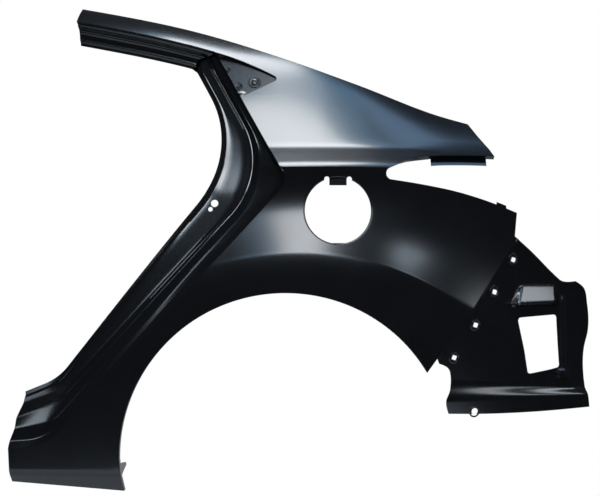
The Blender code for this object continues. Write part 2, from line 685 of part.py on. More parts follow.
    # Flanges along the free edges
    grids.append(fold(lift(roof), (0, 0.003, -0.001), (0, 0.004, -ROOF_FLANGE)))
    grids.append(fold(lift(tail_rear), (-0.5 * EDGE_FLANGE, EDGE_FLANGE, 0)))
    lamp_edge = lift(join(under, notch, notch_lower, rear_upright[:3]))
    reach = ease((lamp_edge[:, 0] - TAIL_ROOT) / TAIL_WALL_RUN_IN)
    reach[len(under) :] = 0
    wall = lamp_edge.copy()
    wall[:, 1] += EDGE_FLANGE + (TAIL_WALL_DEPTH - EDGE_FLANGE) * reach
    wall[:, 2] -= TAIL_WALL_DROP * reach
    grids.append(np.array([lamp_edge, wall]))
    lip = lift(join(arch_and_foot, turned_under[:, 0]))
    below_top = FOOT_TAB_TOP - lip[:, 2]
    tab = ease(below_top / FOOT_TAB_RUN_OUT) * ease((FOOT_TAB_HEIGHT - below_top) / FOOT_TAB_RUN_OUT)
    return_depth = LIP_DEPTH + (FOOT_TAB_DEPTH - LIP_DEPTH) * tab
    lip_rows = np.array([lip, lip, lip])
    lip_rows[1, :, 1] += LIP_BEND
    lip_rows[2, :, 1] += return_depth
    grids.append(lip_rows)
    grids.append(fold(lift(rocker_edge), (0, EDGE_FLANGE, 0)))

    panel = sheet_object("quarter_panel", grids, collection)
    for number, (station, share, diameter) in enumerate(WEB_HOLES):
        near, far = (path(station)[0] for path in lines[WEB_LINE : WEB_LINE + 2])
        hole = disc(*(near + share * (far - near)), diameter)
        combine(panel, prism(f"web_hole_{number}", hole, cutters), "DIFFERENCE")
    for number, (x, z, diameter) in enumerate(RECESS_BOSSES):
        point = over_shoulder(PILLAR_POINT) + (x, z)
        boss = tilted_disc(f"boss_{number}", recess_floor, point, diameter, 2 * BOSS_PROUD, cutters)
        combine(panel, boss, "UNION")
    for side in (-1, 1):
        across = side * (FILLER_TAB_WIDTH + FILLER_RELIEF) / 2
        up = math.sqrt((FILLER_RADIUS - FILLER_BEND) ** 2 - across**2)
        relief = prism(f"relief_{side}", disc(*(centre + (across, up)), FILLER_RELIEF), cutters)
        combine(panel, relief, "DIFFERENCE")
    hinge_y = float(skin_depth(centre[0], centre[1] + FILLER_RADIUS)) + FILLER_FLANGE
    ledge_y = float(skin_depth(centre[0], centre[1] - FILLER_RADIUS)) + FILLER_FLANGE
    outside = FILLER_RADIUS + 0.001
    tab = box_outline(centre, FILLER_TAB_WIDTH, FILLER_RADIUS - FILLER_BEND - FILLER_TAB_LENGTH, outside)
    ledge = box_outline(centre, FILLER_LEDGE_WIDTH, -outside, FILLER_LEDGE_DEPTH - FILLER_RADIUS)
    for name, outline, y in (("filler_tab", tab, hinge_y), ("filler_ledge", ledge, ledge_y)):
        combine(panel, prism(name, outline, cutters, y - 2.5 * SHEET, y - 1.5 * SHEET), "UNION")
    return wall[: len(under)], wall[len(under) + len(notch) - 2 : -2]


def recess_floor(points):
    """Points (x, z) put onto the recess's floor."""
    return lift(points) + (0, RECESS_DEPTH, 0)


def box_outline(centre, width, low, high):
    """Rectangle of this width about a centre, between two heights measured from it."""
    half = width / 2
    return centre + np.array([(-half, low), (half, low), (half, high), (-half, high)])


def extension_depth(points):
    """Y of the rear extension: against the skin, then stepped behind it and leaning inboard, with the shelf
    over its foot, the hood over the vent and the rib behind it."""
    x, z = points[..., 0], points[..., 1]
    _, knee, tip = rear_edge()
    down = unit(tip - knee)
    behind = np.array([-down[1], down[0]])
    distance = (points - knee) @ behind
    run = np.clip((points - knee) @ down, 0, np.linalg.norm(tip - knee))
    edge = knee + run[..., None] * down
    hidden = distance < 0
    seat = skin_depth(np.where(hidden, x, edge[..., 0]), np.where(hidden, z, edge[..., 1]))
    y = seat + 1.5 * SHEET + SEAT_GAP + EXTENSION_LEAN * np.clip(distance, 0, None)
    y = y + EXTENSION_STEP * ease(distance / EXTENSION_STEP_WIDTH)
    x, z = x - tip[0], z - tip[1]
    y = y - SHELF_REACH * ease((SHELF_TOP - z) / (SHELF_TOP - SHELF_BOTTOM))
    front, rear = HOOD_FRONT, HOOD_REAR
    sides = ease((x - front[0]) / (front[1] - front[0])) * ease((rear[1] - x) / (rear[1] - rear[0]))
    underside = ease((z - HOOD_LIP + HOOD_UNDERSIDE) / HOOD_UNDERSIDE)
    rise = ease((HOOD_TOP - z) / (HOOD_TOP - HOOD_LIP)) * underside
    rib_ends = ease((z - RIB_FOOT) / RIB_RUN_OUT) * ease((RIB_TOP - z) / RIB_RUN_OUT)
    rib = ease(1 - abs(x - RIB_X) / RIB_WIDTH) * rib_ends
    return y - HOOD_REACH * sides * rise - RIB_REACH * rib


def on_extension(points):
    return np.stack([points[..., 0], extension_depth(points), points[..., 1]], axis=-1)


def tilted_disc(name, surface, point, diameter, thickness, collection):
    """Tool: a disc in a surface's own slope, its middle at this point (x, z) of it."""
    across, up = np.diag((diameter / 4, diameter / 4))
    along_x = surface(point + across) - surface(point - across)
    along_z = surface(point + up) - surface(point - up)
    normal = Vector(np.cross(along_z, along_x))
    shape = bmesh.new()
    bmesh.ops.create_cone(
        shape, cap_ends=True, segments=20, radius1=diameter / 2, radius2=diameter / 2, depth=thickness
    )
    turn = Vector((0, 0, 1)).rotation_difference(normal).to_matrix()
    bmesh.ops.rotate(shape, verts=shape.verts, matrix=turn)
    bmesh.ops.translate(shape, verts=shape.verts, vec=Vector(surface(point)))
    mesh = bpy.data.meshes.new(name)
    shape.to_mesh(mesh)
    shape.free()
    tool = bpy.data.objects.new(name, mesh)
    tool.hide_render = True
    tool.display_type = "WIRE"
    collection.objects.link(tool)
    return tool


def rear_extension(collection, cutters):
    _, knee, tip = rear_edge()
    down = unit(tip - knee)
    behind = np.array([-down[1], down[0]])
    hidden_run = np.linalg.norm(tip - knee) - EXTENSION_FOOT_CLEARANCE
    hidden_foot = knee + down * hidden_run - behind * EXTENSION_OVERLAP
    hidden = straight(knee + EXTENSION_HIDDEN_TOP, hidden_foot, 15)
    bottom = smooth(tip + np.array(EXTENSION_BOTTOM), 24)
    front = np.vstack([tip + np.array(EXTENSION_FRONT), bottom[:1]])
    left = join(hidden, straight(hidden_foot, front[0], 1), smooth(front, 9))
    top = smooth(knee + np.array((EXTENSION_HIDDEN_TOP,) + EXTENSION_TOP), 24)
    rear = (top[-1:], top[-1] + EXTENSION_REAR_UPPER, bottom[-1] + EXTENSION_REAR_LOWER, bottom[-1:])
    right = smooth(np.vstack(rear), len(left) - 1)
    extension = sheet_object("rear_extension", [on_extension(coons(top, bottom, left, right))], collection)
    vent = rounded(tip + np.array(VENT), VENT_CORNER)
    combine(extension, prism("vent", vent, cutters), "DIFFERENCE")
    for number in range(FIXING_COUNT):
        share = number / (FIXING_COUNT - 1)
        run = FIRST_FIXING + (hidden_run - LAST_FIXING - FIRST_FIXING) * share
        inset = FIRST_FIXING_INSET + (LAST_FIXING_INSET - FIRST_FIXING_INSET) * share
        point = knee + down * run + behind * inset
        pad = tilted_disc(f"pad_{number}", on_extension, point, FIXING_PAD, 2 * FIXING_PAD_PROUD, cutters)
        combine(extension, pad, "UNION")
        square = turned_square(*point, FIXING_HOLE, REAR_SLOPE)
        combine(extension, prism(f"fixing_{number}", square, cutters), "DIFFERENCE")
    foot_x = tip[0] + FOOT_HOLE_X
    foot = np.array([foot_x, float(np.interp(foot_x, *bottom.T)) + FOOT_HOLE_RISE])
    eye = tilted_disc("foot_eye", on_extension, foot, FOOT_EYE, 2 * FIXING_PAD_PROUD, cutters)
    combine(extension, eye, "UNION")
    hole = tilted_disc("foot_hole", on_extension, foot, FOOT_HOLE, 20 * FIXING_PAD_PROUD, cutters)
    combine(extension, hole, "DIFFERENCE")


def at_x(row, x):
    """Points of a row (x, y, z) at these places along X."""
    row = row[np.argsort(row[:, 0])]
    return np.column_stack([x, np.interp(x, row[:, 0], row[:, 1]), np.interp(x, row[:, 0], row[:, 2])])


def lamp_bracket(tail_wall, collection):
    """Strip under the tail, welded by its top flange against the underside of the tail's inboard wall."""
    wall_slope = TAIL_WALL_DROP / TAIL_WALL_DEPTH
    rear = TAIL_REAR[-1][0] - LAMP_BRACKET_INSET
    end = at_x(tail_wall, np.linspace(rear - LAMP_BRACKET_LENGTH, rear, 7))
    end[:, 2] -= 1.5 * SHEET + SEAT_GAP
    inner = end - (0, LAMP_BRACKET_FLANGE, -LAMP_BRACKET_FLANGE * wall_slope)
    strip = end - (0, LAMP_BRACKET_OUT, LAMP_BRACKET_HEIGHT)
    sheet_object("lamp_bracket", [np.array([inner, end, strip])], collection)


def corner_tab(notch_flange, collection):
    """Small upright plate that is welded across the end of the notch's flange."""
    middle = NOTCH_LOWER[-1][0] - CORNER_TAB_INSET
    x = np.array([middle - CORNER_TAB_WIDTH / 2, middle + CORNER_TAB_WIDTH / 2])
    seat = at_x(notch_flange, x) + (0, SEAT_GAP, 0)
    plate = np.array([seat + (0, 0, CORNER_TAB_RISE), seat - (0, 0, CORNER_TAB_FOOT)])
    sheet_object("corner_tab", [plate], collection)


def main():
    for thing in list(bpy.data.objects):
        bpy.data.objects.remove(thing)
    parts = bpy.data.collections.new("rear_quarter_panel")
    cutters = bpy.data.collections.new("cutters")
    for collection in (parts, cutters):
        bpy.context.scene.collection.children.link(collection)
    cutters.hide_render = True
    tail_wall, notch_flange = quarter_panel(parts, cutters)
    rear_extension(parts, cutters)
    lamp_bracket(tail_wall, parts)
    corner_tab(notch_flange, parts)


main()
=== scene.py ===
"""Left rear quarter panel of a saloon and the pressing behind its lower rear edge, in black primer.

X runs to the car's rear, Y inboard and Z up, in metres, with the origin at the wheel arch's centre. Each
pressing is worked out here as grids of points on the same surfaces as the solids, only finer, and gets its
sheet thickness behind them.
"""

import math
from collections import namedtuple

import bmesh
import bpy
import numpy as np
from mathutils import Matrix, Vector


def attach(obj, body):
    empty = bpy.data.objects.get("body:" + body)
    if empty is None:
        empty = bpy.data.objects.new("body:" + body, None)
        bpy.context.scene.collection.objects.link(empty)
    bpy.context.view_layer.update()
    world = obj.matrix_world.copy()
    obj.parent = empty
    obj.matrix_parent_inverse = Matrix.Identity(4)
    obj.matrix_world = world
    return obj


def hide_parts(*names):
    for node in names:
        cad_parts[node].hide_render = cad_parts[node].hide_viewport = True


# Sheet metal, and the pitch of the faces along its long edges
SHEET = 0.0008
SEAT_GAP = 0.0003
PITCH = 0.0062
WELD_DISTANCE = 0.00003
SHARP_ANGLE = 40

# Spaces along the patches' edges, and rows of points across them
PILLAR_ROWS = 50
NOTCH_POINTS = 14
NOTCH_LOWER_COUNT = 48
REAR_UPRIGHT_COUNT = 14
REAR_SLOPED_COUNT = 28
FLARE_POINTS = 110
FLANK_ROWS = 42
FLARE_ROWS = 18
FOOT_COUNT = 6
ROCKER_ROWS = 12
EXTENSION_ROW_COUNT = 110
EXTENSION_COLUMN_COUNTS = (75, 5, 45)
BEND_ROWS = 7

# Flank's rows: their crowding towards the filler opening, shares of even angles and of the outline's own
FLANK_CROWDING = 1.15
EVEN_SHARE = 0.7
OUTLINE_SHARE = 0.3

# Wheel arch, its flare and its lip
ARCH_RADIUS = 0.351
FLARE_WIDTH = 0.087
FLARE_DROP_FRONT = 0.69
FLARE_DROP_REAR = 0.93
FLARE_INSET = 0.0025
FLARE_ROLL_WIDTH = 0.050
FLARE_ROLL_END = 0.290
FLARE_ROLL_FADE = 0.140
LIP_DEPTH = 0.016
LIP_BEND = 0.002
FOOT_TAB_DEPTH = 0.085
FOOT_TAB_TOP = -0.012
FOOT_TAB_HEIGHT = 0.024
FOOT_TAB_RUN_OUT = 0.008

# Filler opening, and the skin that is left above it and below it
FILLER_X = 0.112
FILLER_ABOVE = 0.0225
FILLER_BELOW = 0.0145
FILLER_RADIUS = 0.0735
FILLER_BEND = 0.0025
FILLER_FLANGE = 0.010
FILLER_TAB_WIDTH = 0.037
FILLER_TAB_LENGTH = 0.017
FILLER_RELIEF = 0.011
FILLER_LEDGE_WIDTH = 0.044
FILLER_LEDGE_DEPTH = 0.004
FILLER_LAP = 0.001

# Shoulder line, high enough over the flare for the filler opening, and the shelf above it
SHOULDER_HEIGHT = ARCH_RADIUS + FLARE_WIDTH + FILLER_BELOW + 2 * FILLER_RADIUS + FILLER_ABOVE
SHOULDER_CREST = 0.090
SHOULDER_SAG = 0.12
SHOULDER_INSET = 0.020
SHELF_HEIGHT = 0.050
SHELF_FALL = 0.012
SHELF_LEAN = 1.6

# Slopes of the skin, inboard for each length upward: the flank at its two edges, the side below the flare,
# and the pillar in shares of its mean slope, with what the roof's roundness adds
UNDER_SHOULDER = -0.30
OVER_FLARE = 0.40
FLARE_ROLL = 0.15
BELOW_FLARE = -0.02
SIDE_CURVE = 0.05
PILLAR_FOOT_SHARE = 0.9
PILLAR_HEAD_SHARE = 1.15
ROOF_ROLL_X = (-0.480, -0.200, -0.016, 0.420)
ROOF_ROLL = (1.7, 1.1, 0.15, 0.0)
CREASE_SOFTNESS = 0.004
ROLL_SOFTNESS = 0.09
SHELF_SOFTNESS = 0.009

# Roof edge from the front of the rail to the tail, as points (x, y, height over the shoulder), and where
# along it the patches of the rail, the recess and the pillar end
ROOF_EDGE = (
    (-0.482, 0.305, 0.389),
    (-0.205, 0.296, 0.331),
    (-0.016, 0.288, 0.2725),
    (0.171, 0.275, 0.2035),
    (0.356, 0.257, 0.130),
    (0.420, 0.250, 0.111),
)
ROOF_MARKS = (-0.150, 0.060, 0.085, 0.200)
ROOF_FLANGE = 0.010
ROOF_FLANGE_ROWS = ((0, 0.0010, -0.0001), (0, 0.0022, -0.0006), (0, 0.003, -0.0016), (0, 0.004, -ROOF_FLANGE))

# Tail behind the pillar, its underside and the notch for the lamp, as points (x, height over the shoulder)
TAIL_REAR = ((0.420, 0.111), (0.440, 0.072), (0.458, 0.043), (0.464, 0.028))
TAIL_UNDER = ((0.464, 0.028), (0.384, 0.0285), (0.315, 0.025), (0.269, 0.016))
TAIL_ROOT = 0.2275
TAIL_WALL_DEPTH = 0.012
TAIL_WALL_DROP = 0.006
TAIL_WALL_RUN_IN = 0.070
NOTCH_RADIUS = 0.013
NOTCH_LOWER = ((0.223, -0.0285), (0.2885, -0.0384), (0.3765, -0.056), (0.466, -0.084), (0.505, -0.0993))
EDGE_FLANGE = 0.012
UPRIGHT_FLANGE_COUNT = 7

# Rear edge of the flank: upright below its top corner to this point (x, height over the shoulder), then along
# a straight slope to the arch
REAR_BEND = (0.4995, -0.1665)
REAR_SLOPE = 54.1

# Rocker below the dogleg
SILL_LENGTH = 0.233
SILL_BEND_HEIGHT = -0.033
SILL_BEND_RISE = 0.005
SILL_UNDER_REAR = 0.045
SILL_UNDER_FRONT = 0.023
SILL_TURN_UNDER = 1.1
SILL_SOFTNESS = 0.008
FOOT_LEAN = 0.003
ROCKER_END_INSET = 0.002

# Door aperture: the straight lines of its edge, on the pillar through a point (x, height over the shoulder)
# and on the dogleg
PILLAR_POINT = (-0.102, 0.163)
PILLAR_LEAN = 28.7
LEG_WIDTH = 0.041
DOGLEG_SLOPE = 47.6
DOGLEG_TOP = -0.240
DOGLEG_FOOT = 0.200
ARM_FRONT = -0.483
RAIL_STEP = 0.05

# Stations where its arm, dogleg and sill end, and those between which points lie straight across its lines
ARM_END = 1
LEG_END = 5
DOOR_END = 7
ACROSS_SEARCH = (1.6, 5.2)
ACROSS_START = 2
ACROSS_END = 4.9
ACROSS_RUN = 0.25

# Its lines, from the skin's edge inward to the trim edge of the weld flange. Then rows of points between two
# lines, and how far from a line its bend is rounded
Line = namedtuple(
    "Line", "depth arm pillar leg_top leg_foot roof_bend belt_bend sill_bend end_x end_z sill_rise"
)
DOOR_LINES = (
    Line(0.0000, 0.044, 0.0000, 0.000, 0.000, 0.008, 0.036, 0.110, 0.0000, 0.0245, 2),
    Line(0.0130, 0.048, 0.0045, 0.011, 0.011, 0.010, 0.050, 0.100, 0.0000, 0.0370, 5),
    Line(0.0170, 0.053, 0.0140, 0.026, 0.026, 0.012, 0.195, 0.080, 0.0100, 0.0640, 9),
    Line(0.0320, 0.058, 0.0240, 0.044, 0.044, 0.016, 0.180, 0.120, 0.0100, 0.0840, 22),
    Line(0.0375, 0.067, 0.0400, 0.057, 0.058, 0.022, 0.210, 0.120, 0.0240, 0.1150, 20),
    Line(0.0415, 0.080, 0.0500, 0.102, 0.073, 0.028, 0.240, 0.120, 0.0260, 0.1260, 21),
    Line(0.0490, 0.084, 0.0540, 0.106, 0.076, 0.030, 0.238, 0.120, 0.0260, 0.1300, 22),
    Line(0.0520, 0.091, 0.0600, 0.114, 0.081, 0.032, 0.232, 0.120, 0.0250, 0.1380, 22),
)
LINE_ROWS = np.array((0, 0.07, 0.14, 0.28, 0.50, 0.72, 0.86, 0.93))
LINE_ROUNDING = 0.14

# How soon, line by line, the aperture leaves the skin's own depth for a calmer one, the stations this runs
# through, and the station and run on which the depths below take over
DOOR_CALM = (0.0, 0.4, 0.9, 1.0, 1.0, 1.0, 1.0, 1.0)
DOOR_CALM_STATIONS = (0.0, 1.0, 2.0, 3.0)
CALM_START = 1.6
CALM_RUN = 0.6

# From the pillar down, the calmer depth as points (height over the shoulder, y)
CALM_DEPTH = (
    (0.2525, 0.231), (0.062, 0.1267), (0.000, 0.092), (-0.060, 0.055), (-0.140, 0.026),
    (-0.250, 0.009), (-0.400, 0.003), (-0.620, 0.006), (-0.700, 0.006),
)

# Narrow crests along the aperture: place in spaces between its lines, and height. Then their half width, and
# the station and run of their fading towards the sill
CRESTS = ((2.0, 0.0018), (3.1, 0.0026), (3.45, 0.0022), (5.0, 0.0018))
CREST_WIDTH = 0.2
CREST_END = 5.2
CREST_FADE = 0.6

# Three-cornered trim recess on the pillar, its tip as (x, height over the shoulder), and the round bosses in
# its floor, from the pillar's point, with their diameters
RECESS_TIP = (-0.012, 0.214)
RECESS_TIP_RADIUS = 0.0085
RECESS_TOP_BOW = 0.005
RECESS_DEPTH = 0.007
RECESS_WALL = 0.003
RECESS_TOP_SPREAD = 1.8
RECESS_SLOPES = (0.0, 0.33)
RECESS_BOSSES = ((-0.044, 0.070, 0.016), (-0.010, 0.033, 0.020), (0.028, 0.043, 0.030))
BOSS_SIDES = 32

# Spaces along its sides, rows in its wall, ramps that fit its outline and its floor, and the wider wall's end
RECESS_SIDE_COUNT = 26
RECESS_WALL_ROWS = 8
OUTLINE_RAMPS = 18
FLOOR_RAMPS = 9
SPREAD_END = 1.2

# Section of a boss in the recess: share of its radius and height
BOSS_PROFILE = (
    (1.00, -0.0004), (0.95, 0.0016), (0.88, 0.0026), (0.78, 0.0026), (0.70, 0.0004), (0.56, 0.0003),
    (0.50, 0.0028), (0.42, 0.0038), (0.25, 0.0038), (0.16, 0.0010), (0.00, 0.0008),
)

# Holes in the door aperture's web: station along its lines, share of the way from the web's line to the next,
# and diameter
WEB_HOLES = ((3.883, 0.6, 0.016), (3.940, 0.6, 0.010))
WEB_LINE = 4

# Rear extension: how it seats behind the skin's rear edge, then its outline as points (x, z): the upper edge
# from the bend of the skin's rear edge, the lower and front edges from that edge's lower tip, and the rear
# edge from its own two corners
EXTENSION_OVERLAP = 0.012
EXTENSION_STEP = 0.006
EXTENSION_STEP_WIDTH = 0.008
EXTENSION_LEAN = 0.45
EXTENSION_HIDDEN_TOP = (-0.0095, 0.0245)
EXTENSION_FOOT_CLEARANCE = 0.044
EXTENSION_TOP = ((0.0385, -0.0135), (0.1075, -0.0745), (0.1165, -0.0815), (0.1545, -0.0845))
EXTENSION_REAR_UPPER = ((0.021, -0.015), (0.032, -0.051))
EXTENSION_REAR_LOWER = ((0.005, 0.171), (-0.006, 0.131))
EXTENSION_BOTTOM = ((0.0492, -0.091), (0.1212, -0.095), (0.2422, -0.097), (0.3832, -0.093))
EXTENSION_FRONT = ((0.0272, 0.018), (0.0492, 0.005), (0.0542, -0.014), (0.0522, -0.040), (0.0432, -0.062))
SHELF_TOP = -0.012
SHELF_SINK = 0.10
SHELF_BOTTOM = -0.065
SHELF_REACH = 0.020

# Vent in the extension, the hood above it and the rib behind it, from the same tip
VENT = ((0.2072, 0.112), (0.3052, 0.116), (0.3102, -0.001), (0.2332, -0.013))
VENT_CORNER = 0.007
HOOD_FRONT = (0.1900, 0.2080)
HOOD_REAR = (0.2960, 0.3120)
HOOD_SPLAY = 0.45
HOOD_TOP = 0.184
HOOD_LIP = 0.144
HOOD_UNDERSIDE = 0.010
HOOD_REACH = 0.026
HOOD_SOFTNESS = 0.12
RIB_X = 0.3210
RIB_WIDTH = 0.010
RIB_REACH = 0.006
RIB_TOP = 0.164
RIB_FOOT = -0.031
RIB_RUN_OUT = 0.020
STOP_PLACE = (0.3215, -0.016)
STOP_SIZE = (0.017, 0.013)
STOP_EDGE = 0.004
STOP_REACH = 0.006

# Square fixing holes in round pads beside the rear edge: the first one's run below the bend, the last one's
# above the hidden foot, and how far behind the edge each lies. Then the foot's round hole, from the same tip
FIXING_COUNT = 4
FIXING_HOLE = 0.0095
FIXING_TURN = 16
FIXING_PAD = 0.026
BEAD_HALF_WIDTH = 0.0018
BEAD_HEIGHT = 0.0016
BEAD_SINK = 0.0002
BEAD_SIDES = 40
FIRST_FIXING = 0.029
LAST_FIXING = 0.016
FIRST_FIXING_INSET = 0.020
LAST_FIXING_INSET = 0.031
FOOT_HOLE_X = 0.1082
FOOT_HOLE_RISE = 0.006
FOOT_HOLE = 0.014
FOOT_EYE = 0.026

# Small separate pressings
LAMP_BRACKET_INSET = 0.018
LAMP_BRACKET_LENGTH = 0.128
LAMP_BRACKET_HEIGHT = 0.014
LAMP_BRACKET_OUT = 0.009
LAMP_BRACKET_FLANGE = 0.010
CORNER_TAB_INSET = 0.033
CORNER_TAB_WIDTH = 0.022
CORNER_TAB_RISE = 0.007
CORNER_TAB_FOOT = 0.010

# Reach of what cuts through the sheet, from in front of the skin to behind everything
CUT_START = -0.050
CUT_END = 0.400

# Floor, room and camera
FLOOR_Z = -0.30
FLOOR_CORNERS = ((-1.0, -0.8), (0.9, -0.8), (0.9, 1.2), (-1.0, 1.2))
ROOM = 0.03
SENSOR_WIDTH = 36.0
CAMERA_X = 0.0309
CAMERA_Z = 0.446
CAMERA_DISTANCE = 2.4
FRAME_WIDTH = 1.26

# Softboxes: name, place, target, width, height, radiance and colour
SOFTBOXES = (
    ("overhead", (0.02, 0.02, 2.6), (0.0216, 0.03, 0.7), 0.66, 1.90, 5.2, (1.0, 0.97, 0.94)),
    ("overhead_halo", (0.07, 0.02, 2.65), (0.0716, 0.03, 0.7), 1.00, 2.1, 1.1, (0.22, 0.60, 1.0)),
    ("overhead_fill", (1.42, 0.10, 2.9), (1.42, 0.11, 0.7), 1.3, 2.0, 1.3, (0.38, 0.64, 1.0)),
    ("front", (0.20, -2.25, 2.08), (0.15, 0.0, 0.48), 0.60, 1.6, 4.4, (1.0, 0.97, 0.94)),
    ("front_halo", (0.12, -2.30, 2.02), (0.10, 0.0, 0.48), 1.10, 1.75, 0.8, (0.25, 0.62, 1.0)),
    ("front_right", (1.83, -2.25, 2.3), (0.25, 0.0, 0.42), 0.42, 0.42, 3.1, (0.72, 0.87, 1.0)),
    ("left", (-1.6, -1.9, 1.9), (-0.3, 0.0, 0.3), 0.7, 1.0, 2.2, (0.75, 0.88, 1.0)),
    ("right", (2.3, -0.95, 1.6), (0.55, 0.15, 0.34), 0.5, 0.5, 2.4, (0.88, 0.94, 1.0)),
    ("recess", (-0.20, -1.36, 2.6), (-0.10, 0.25, 0.86), 0.60, 0.45, 0.36, (0.50, 0.76, 1.0)),
    ("hood", (2.2, 0.12, 1.85), (0.55, 0.15, 0.34), 0.45, 0.55, 3.2, (0.85, 0.93, 1.0)),
)


def heading(degrees):
    """Unit vector in the X-Z plane, at this angle above the rearward direction."""
    return np.array([math.cos(math.radians(degrees)), math.sin(math.radians(degrees))])


def unit(vector):
    """Vector of the same direction and length 1."""
    return vector / np.linalg.norm(vector)


def flow(stations, values, at):
    """Smooth curve through a few stations: a cubic between each two, and straight on beyond the ends."""
    t, v, at = (np.asarray(a, float) for a in (stations, values, at))
    width = np.diff(t)
    rise = np.diff(v) / width
    slope = np.empty(len(t))
    slope[1:-1] = (rise[:-1] * width[1:] + rise[1:] * width[:-1]) / (width[:-1] + width[1:])
    slope[0] = 1.5 * rise[0] - 0.5 * slope[1] if len(t) > 2 else rise[0]
    slope[-1] = 1.5 * rise[-1] - 0.5 * slope[-2] if len(t) > 2 else rise[-1]
    k = np.clip(np.searchsorted(t, at) - 1, 0, len(t) - 2)
    inside = cubic(at, t[k], v[k], slope[k], t[k + 1], v[k + 1], slope[k + 1])
    before = v[0] + slope[0] * (at - t[0])
    after = v[-1] + slope[-1] * (at - t[-1])
    return np.where(at < t[0], before, np.where(at > t[-1], after, inside))


def cubic(at, start, value, slope, end, end_value, end_slope):
    """Cubic between two stations with a value and a slope at each."""
    width = end - start
    u = (at - start) / width
    return (
        (2 * u**3 - 3 * u**2 + 1) * value
        + (u**3 - 2 * u**2 + u) * width * slope
        + (3 * u**2 - 2 * u**3) * end_value
        + (u**3 - u**2) * width * end_slope
    )


def bow(x, middle, front, rear):
    """Parabola with one curvature in front of its middle and another behind it."""
    return np.where(x < middle, front, rear) * (x - middle) ** 2


def soften(distance, change, width):
    """What rounds a kink of this change of slope over its width to each side."""
    return change / (4 * width) * np.clip(width - np.abs(distance), 0, None) ** 2


def ease(t):
    """Step from 0 to 1 with level ends."""
    t = np.clip(t, 0, 1)
    return t * t * (3 - 2 * t)


def even(count):
    """Evenly spaced shares from 0 to 1."""
    return np.linspace(0, 1, count)


def over_shoulder(points):
    """Points (x, height over the shoulder) as points (x, z)."""
    return np.asarray(points, float) + (0, SHOULDER_HEIGHT)


def roof_line(x):
    """Y and Z of the roof edge."""
    stations = np.array(ROOF_EDGE)
    return flow(stations[:, 0], stations[:, 1], x), SHOULDER_HEIGHT + flow(stations[:, 0], stations[:, 2], x)


def shoulder_line(x):
    """Y and Z of the crease along the shoulder."""
    y = SHOULDER_INSET + bow(x, -0.100, 0.04, 0.17)
    return y, SHOULDER_HEIGHT - SHOULDER_SAG * (x - SHOULDER_CREST) ** 2


def flare_line(x):
    """Y and Z of the crease over the wheel arch."""
    y = FLARE_INSET + bow(x, -0.060, 0.01, 0.12)
    return y, ARCH_RADIUS + FLARE_WIDTH - bow(x, 0.031, FLARE_DROP_FRONT, FLARE_DROP_REAR)


def sill_bend_line(x):
    """Z of the line along which the rocker turns under."""
    return SILL_BEND_HEIGHT - SILL_BEND_RISE * (x + ARCH_RADIUS) / SILL_LENGTH


def skin_depth(x, z):
    """Y of the outer skin: side, flank, shelf over the shoulder and pillar, smooth between their creases."""
    shoulder_y, shoulder_z = shoulder_line(x)
    flare_y, flare_z = flare_line(x)
    roof_y, roof_z = roof_line(x)
    shelf_z = SHOULDER_HEIGHT + SHELF_HEIGHT - SHELF_FALL * x
    shelf_y = shoulder_y + SHELF_LEAN * (shelf_z - shoulder_z)
    lean = (roof_y - shelf_y) / (roof_z - shelf_z)
    roll = np.interp(x, ROOF_ROLL_X, ROOF_ROLL)
    for knot, turn in zip(ROOF_ROLL_X[1:], np.diff(np.diff(ROOF_ROLL) / np.diff(ROOF_ROLL_X))):
        roll = roll + soften(x - knot, turn, ROLL_SOFTNESS)
    head_lean = PILLAR_HEAD_SHARE * lean + roll
    pillar = cubic(z, shelf_z, shelf_y, PILLAR_FOOT_SHARE * lean, roof_z, roof_y, head_lean)
    shelf = shoulder_y + SHELF_LEAN * (z - shoulder_z)
    flank = cubic(z, flare_z, flare_y, OVER_FLARE, shoulder_z, shoulder_y, UNDER_SHOULDER)
    down = flare_z - z
    rolled = np.clip(down, 0, FLARE_ROLL_WIDTH)
    side = flare_y - BELOW_FLARE * down + SIDE_CURVE * down**2
    flare_roll = FLARE_ROLL * ease((FLARE_ROLL_END - x) / FLARE_ROLL_FADE)
    side = side - flare_roll * (rolled - rolled**2 / (2 * FLARE_ROLL_WIDTH))
    below = sill_bend_line(x) - z
    side = side + SILL_TURN_UNDER * np.clip(below, 0, None) + soften(below, SILL_TURN_UNDER, SILL_SOFTNESS)
    y = np.where(z > shelf_z, pillar, np.where(z > shoulder_z, shelf, np.where(z > flare_z, flank, side)))
    y = y + soften(z - shelf_z, PILLAR_FOOT_SHARE * lean - SHELF_LEAN, SHELF_SOFTNESS)
    y = y + soften(z - shoulder_z, SHELF_LEAN - UNDER_SHOULDER, CREASE_SOFTNESS)
    return y + soften(z - flare_z, OVER_FLARE - BELOW_FLARE - flare_roll, CREASE_SOFTNESS)


def lift(points):
    """Points (x, z) put onto the skin, as (x, y, z)."""
    x, z = points[..., 0], points[..., 1]
    return np.stack([x, skin_depth(x, z), z], axis=-1)


def along(points, shares):
    """Points at these shares of the length of a row of points."""
    steps = np.linalg.norm(np.diff(points, axis=0), axis=1)
    at = np.concatenate([[0], np.cumsum(steps)]) / steps.sum()
    return np.column_stack([np.interp(shares, at, column) for column in points.T])


def straight(start, end, count):
    """Row of evenly spaced points on a straight line, with this many spaces."""
    return np.linspace(np.asarray(start, float), np.asarray(end, float), count + 1)


def smooth(points, count):
    """Row of evenly spaced points, with this many spaces, on a smooth curve through a few points."""
    points = np.array(points, float)
    chords = np.concatenate([[0], np.cumsum(np.linalg.norm(np.diff(points, axis=0), axis=1))])
    fine = np.linspace(0, chords[-1], 40 * len(points))
    curve = np.column_stack([flow(chords, column, fine) for column in points.T])
    return along(curve, even(count + 1))


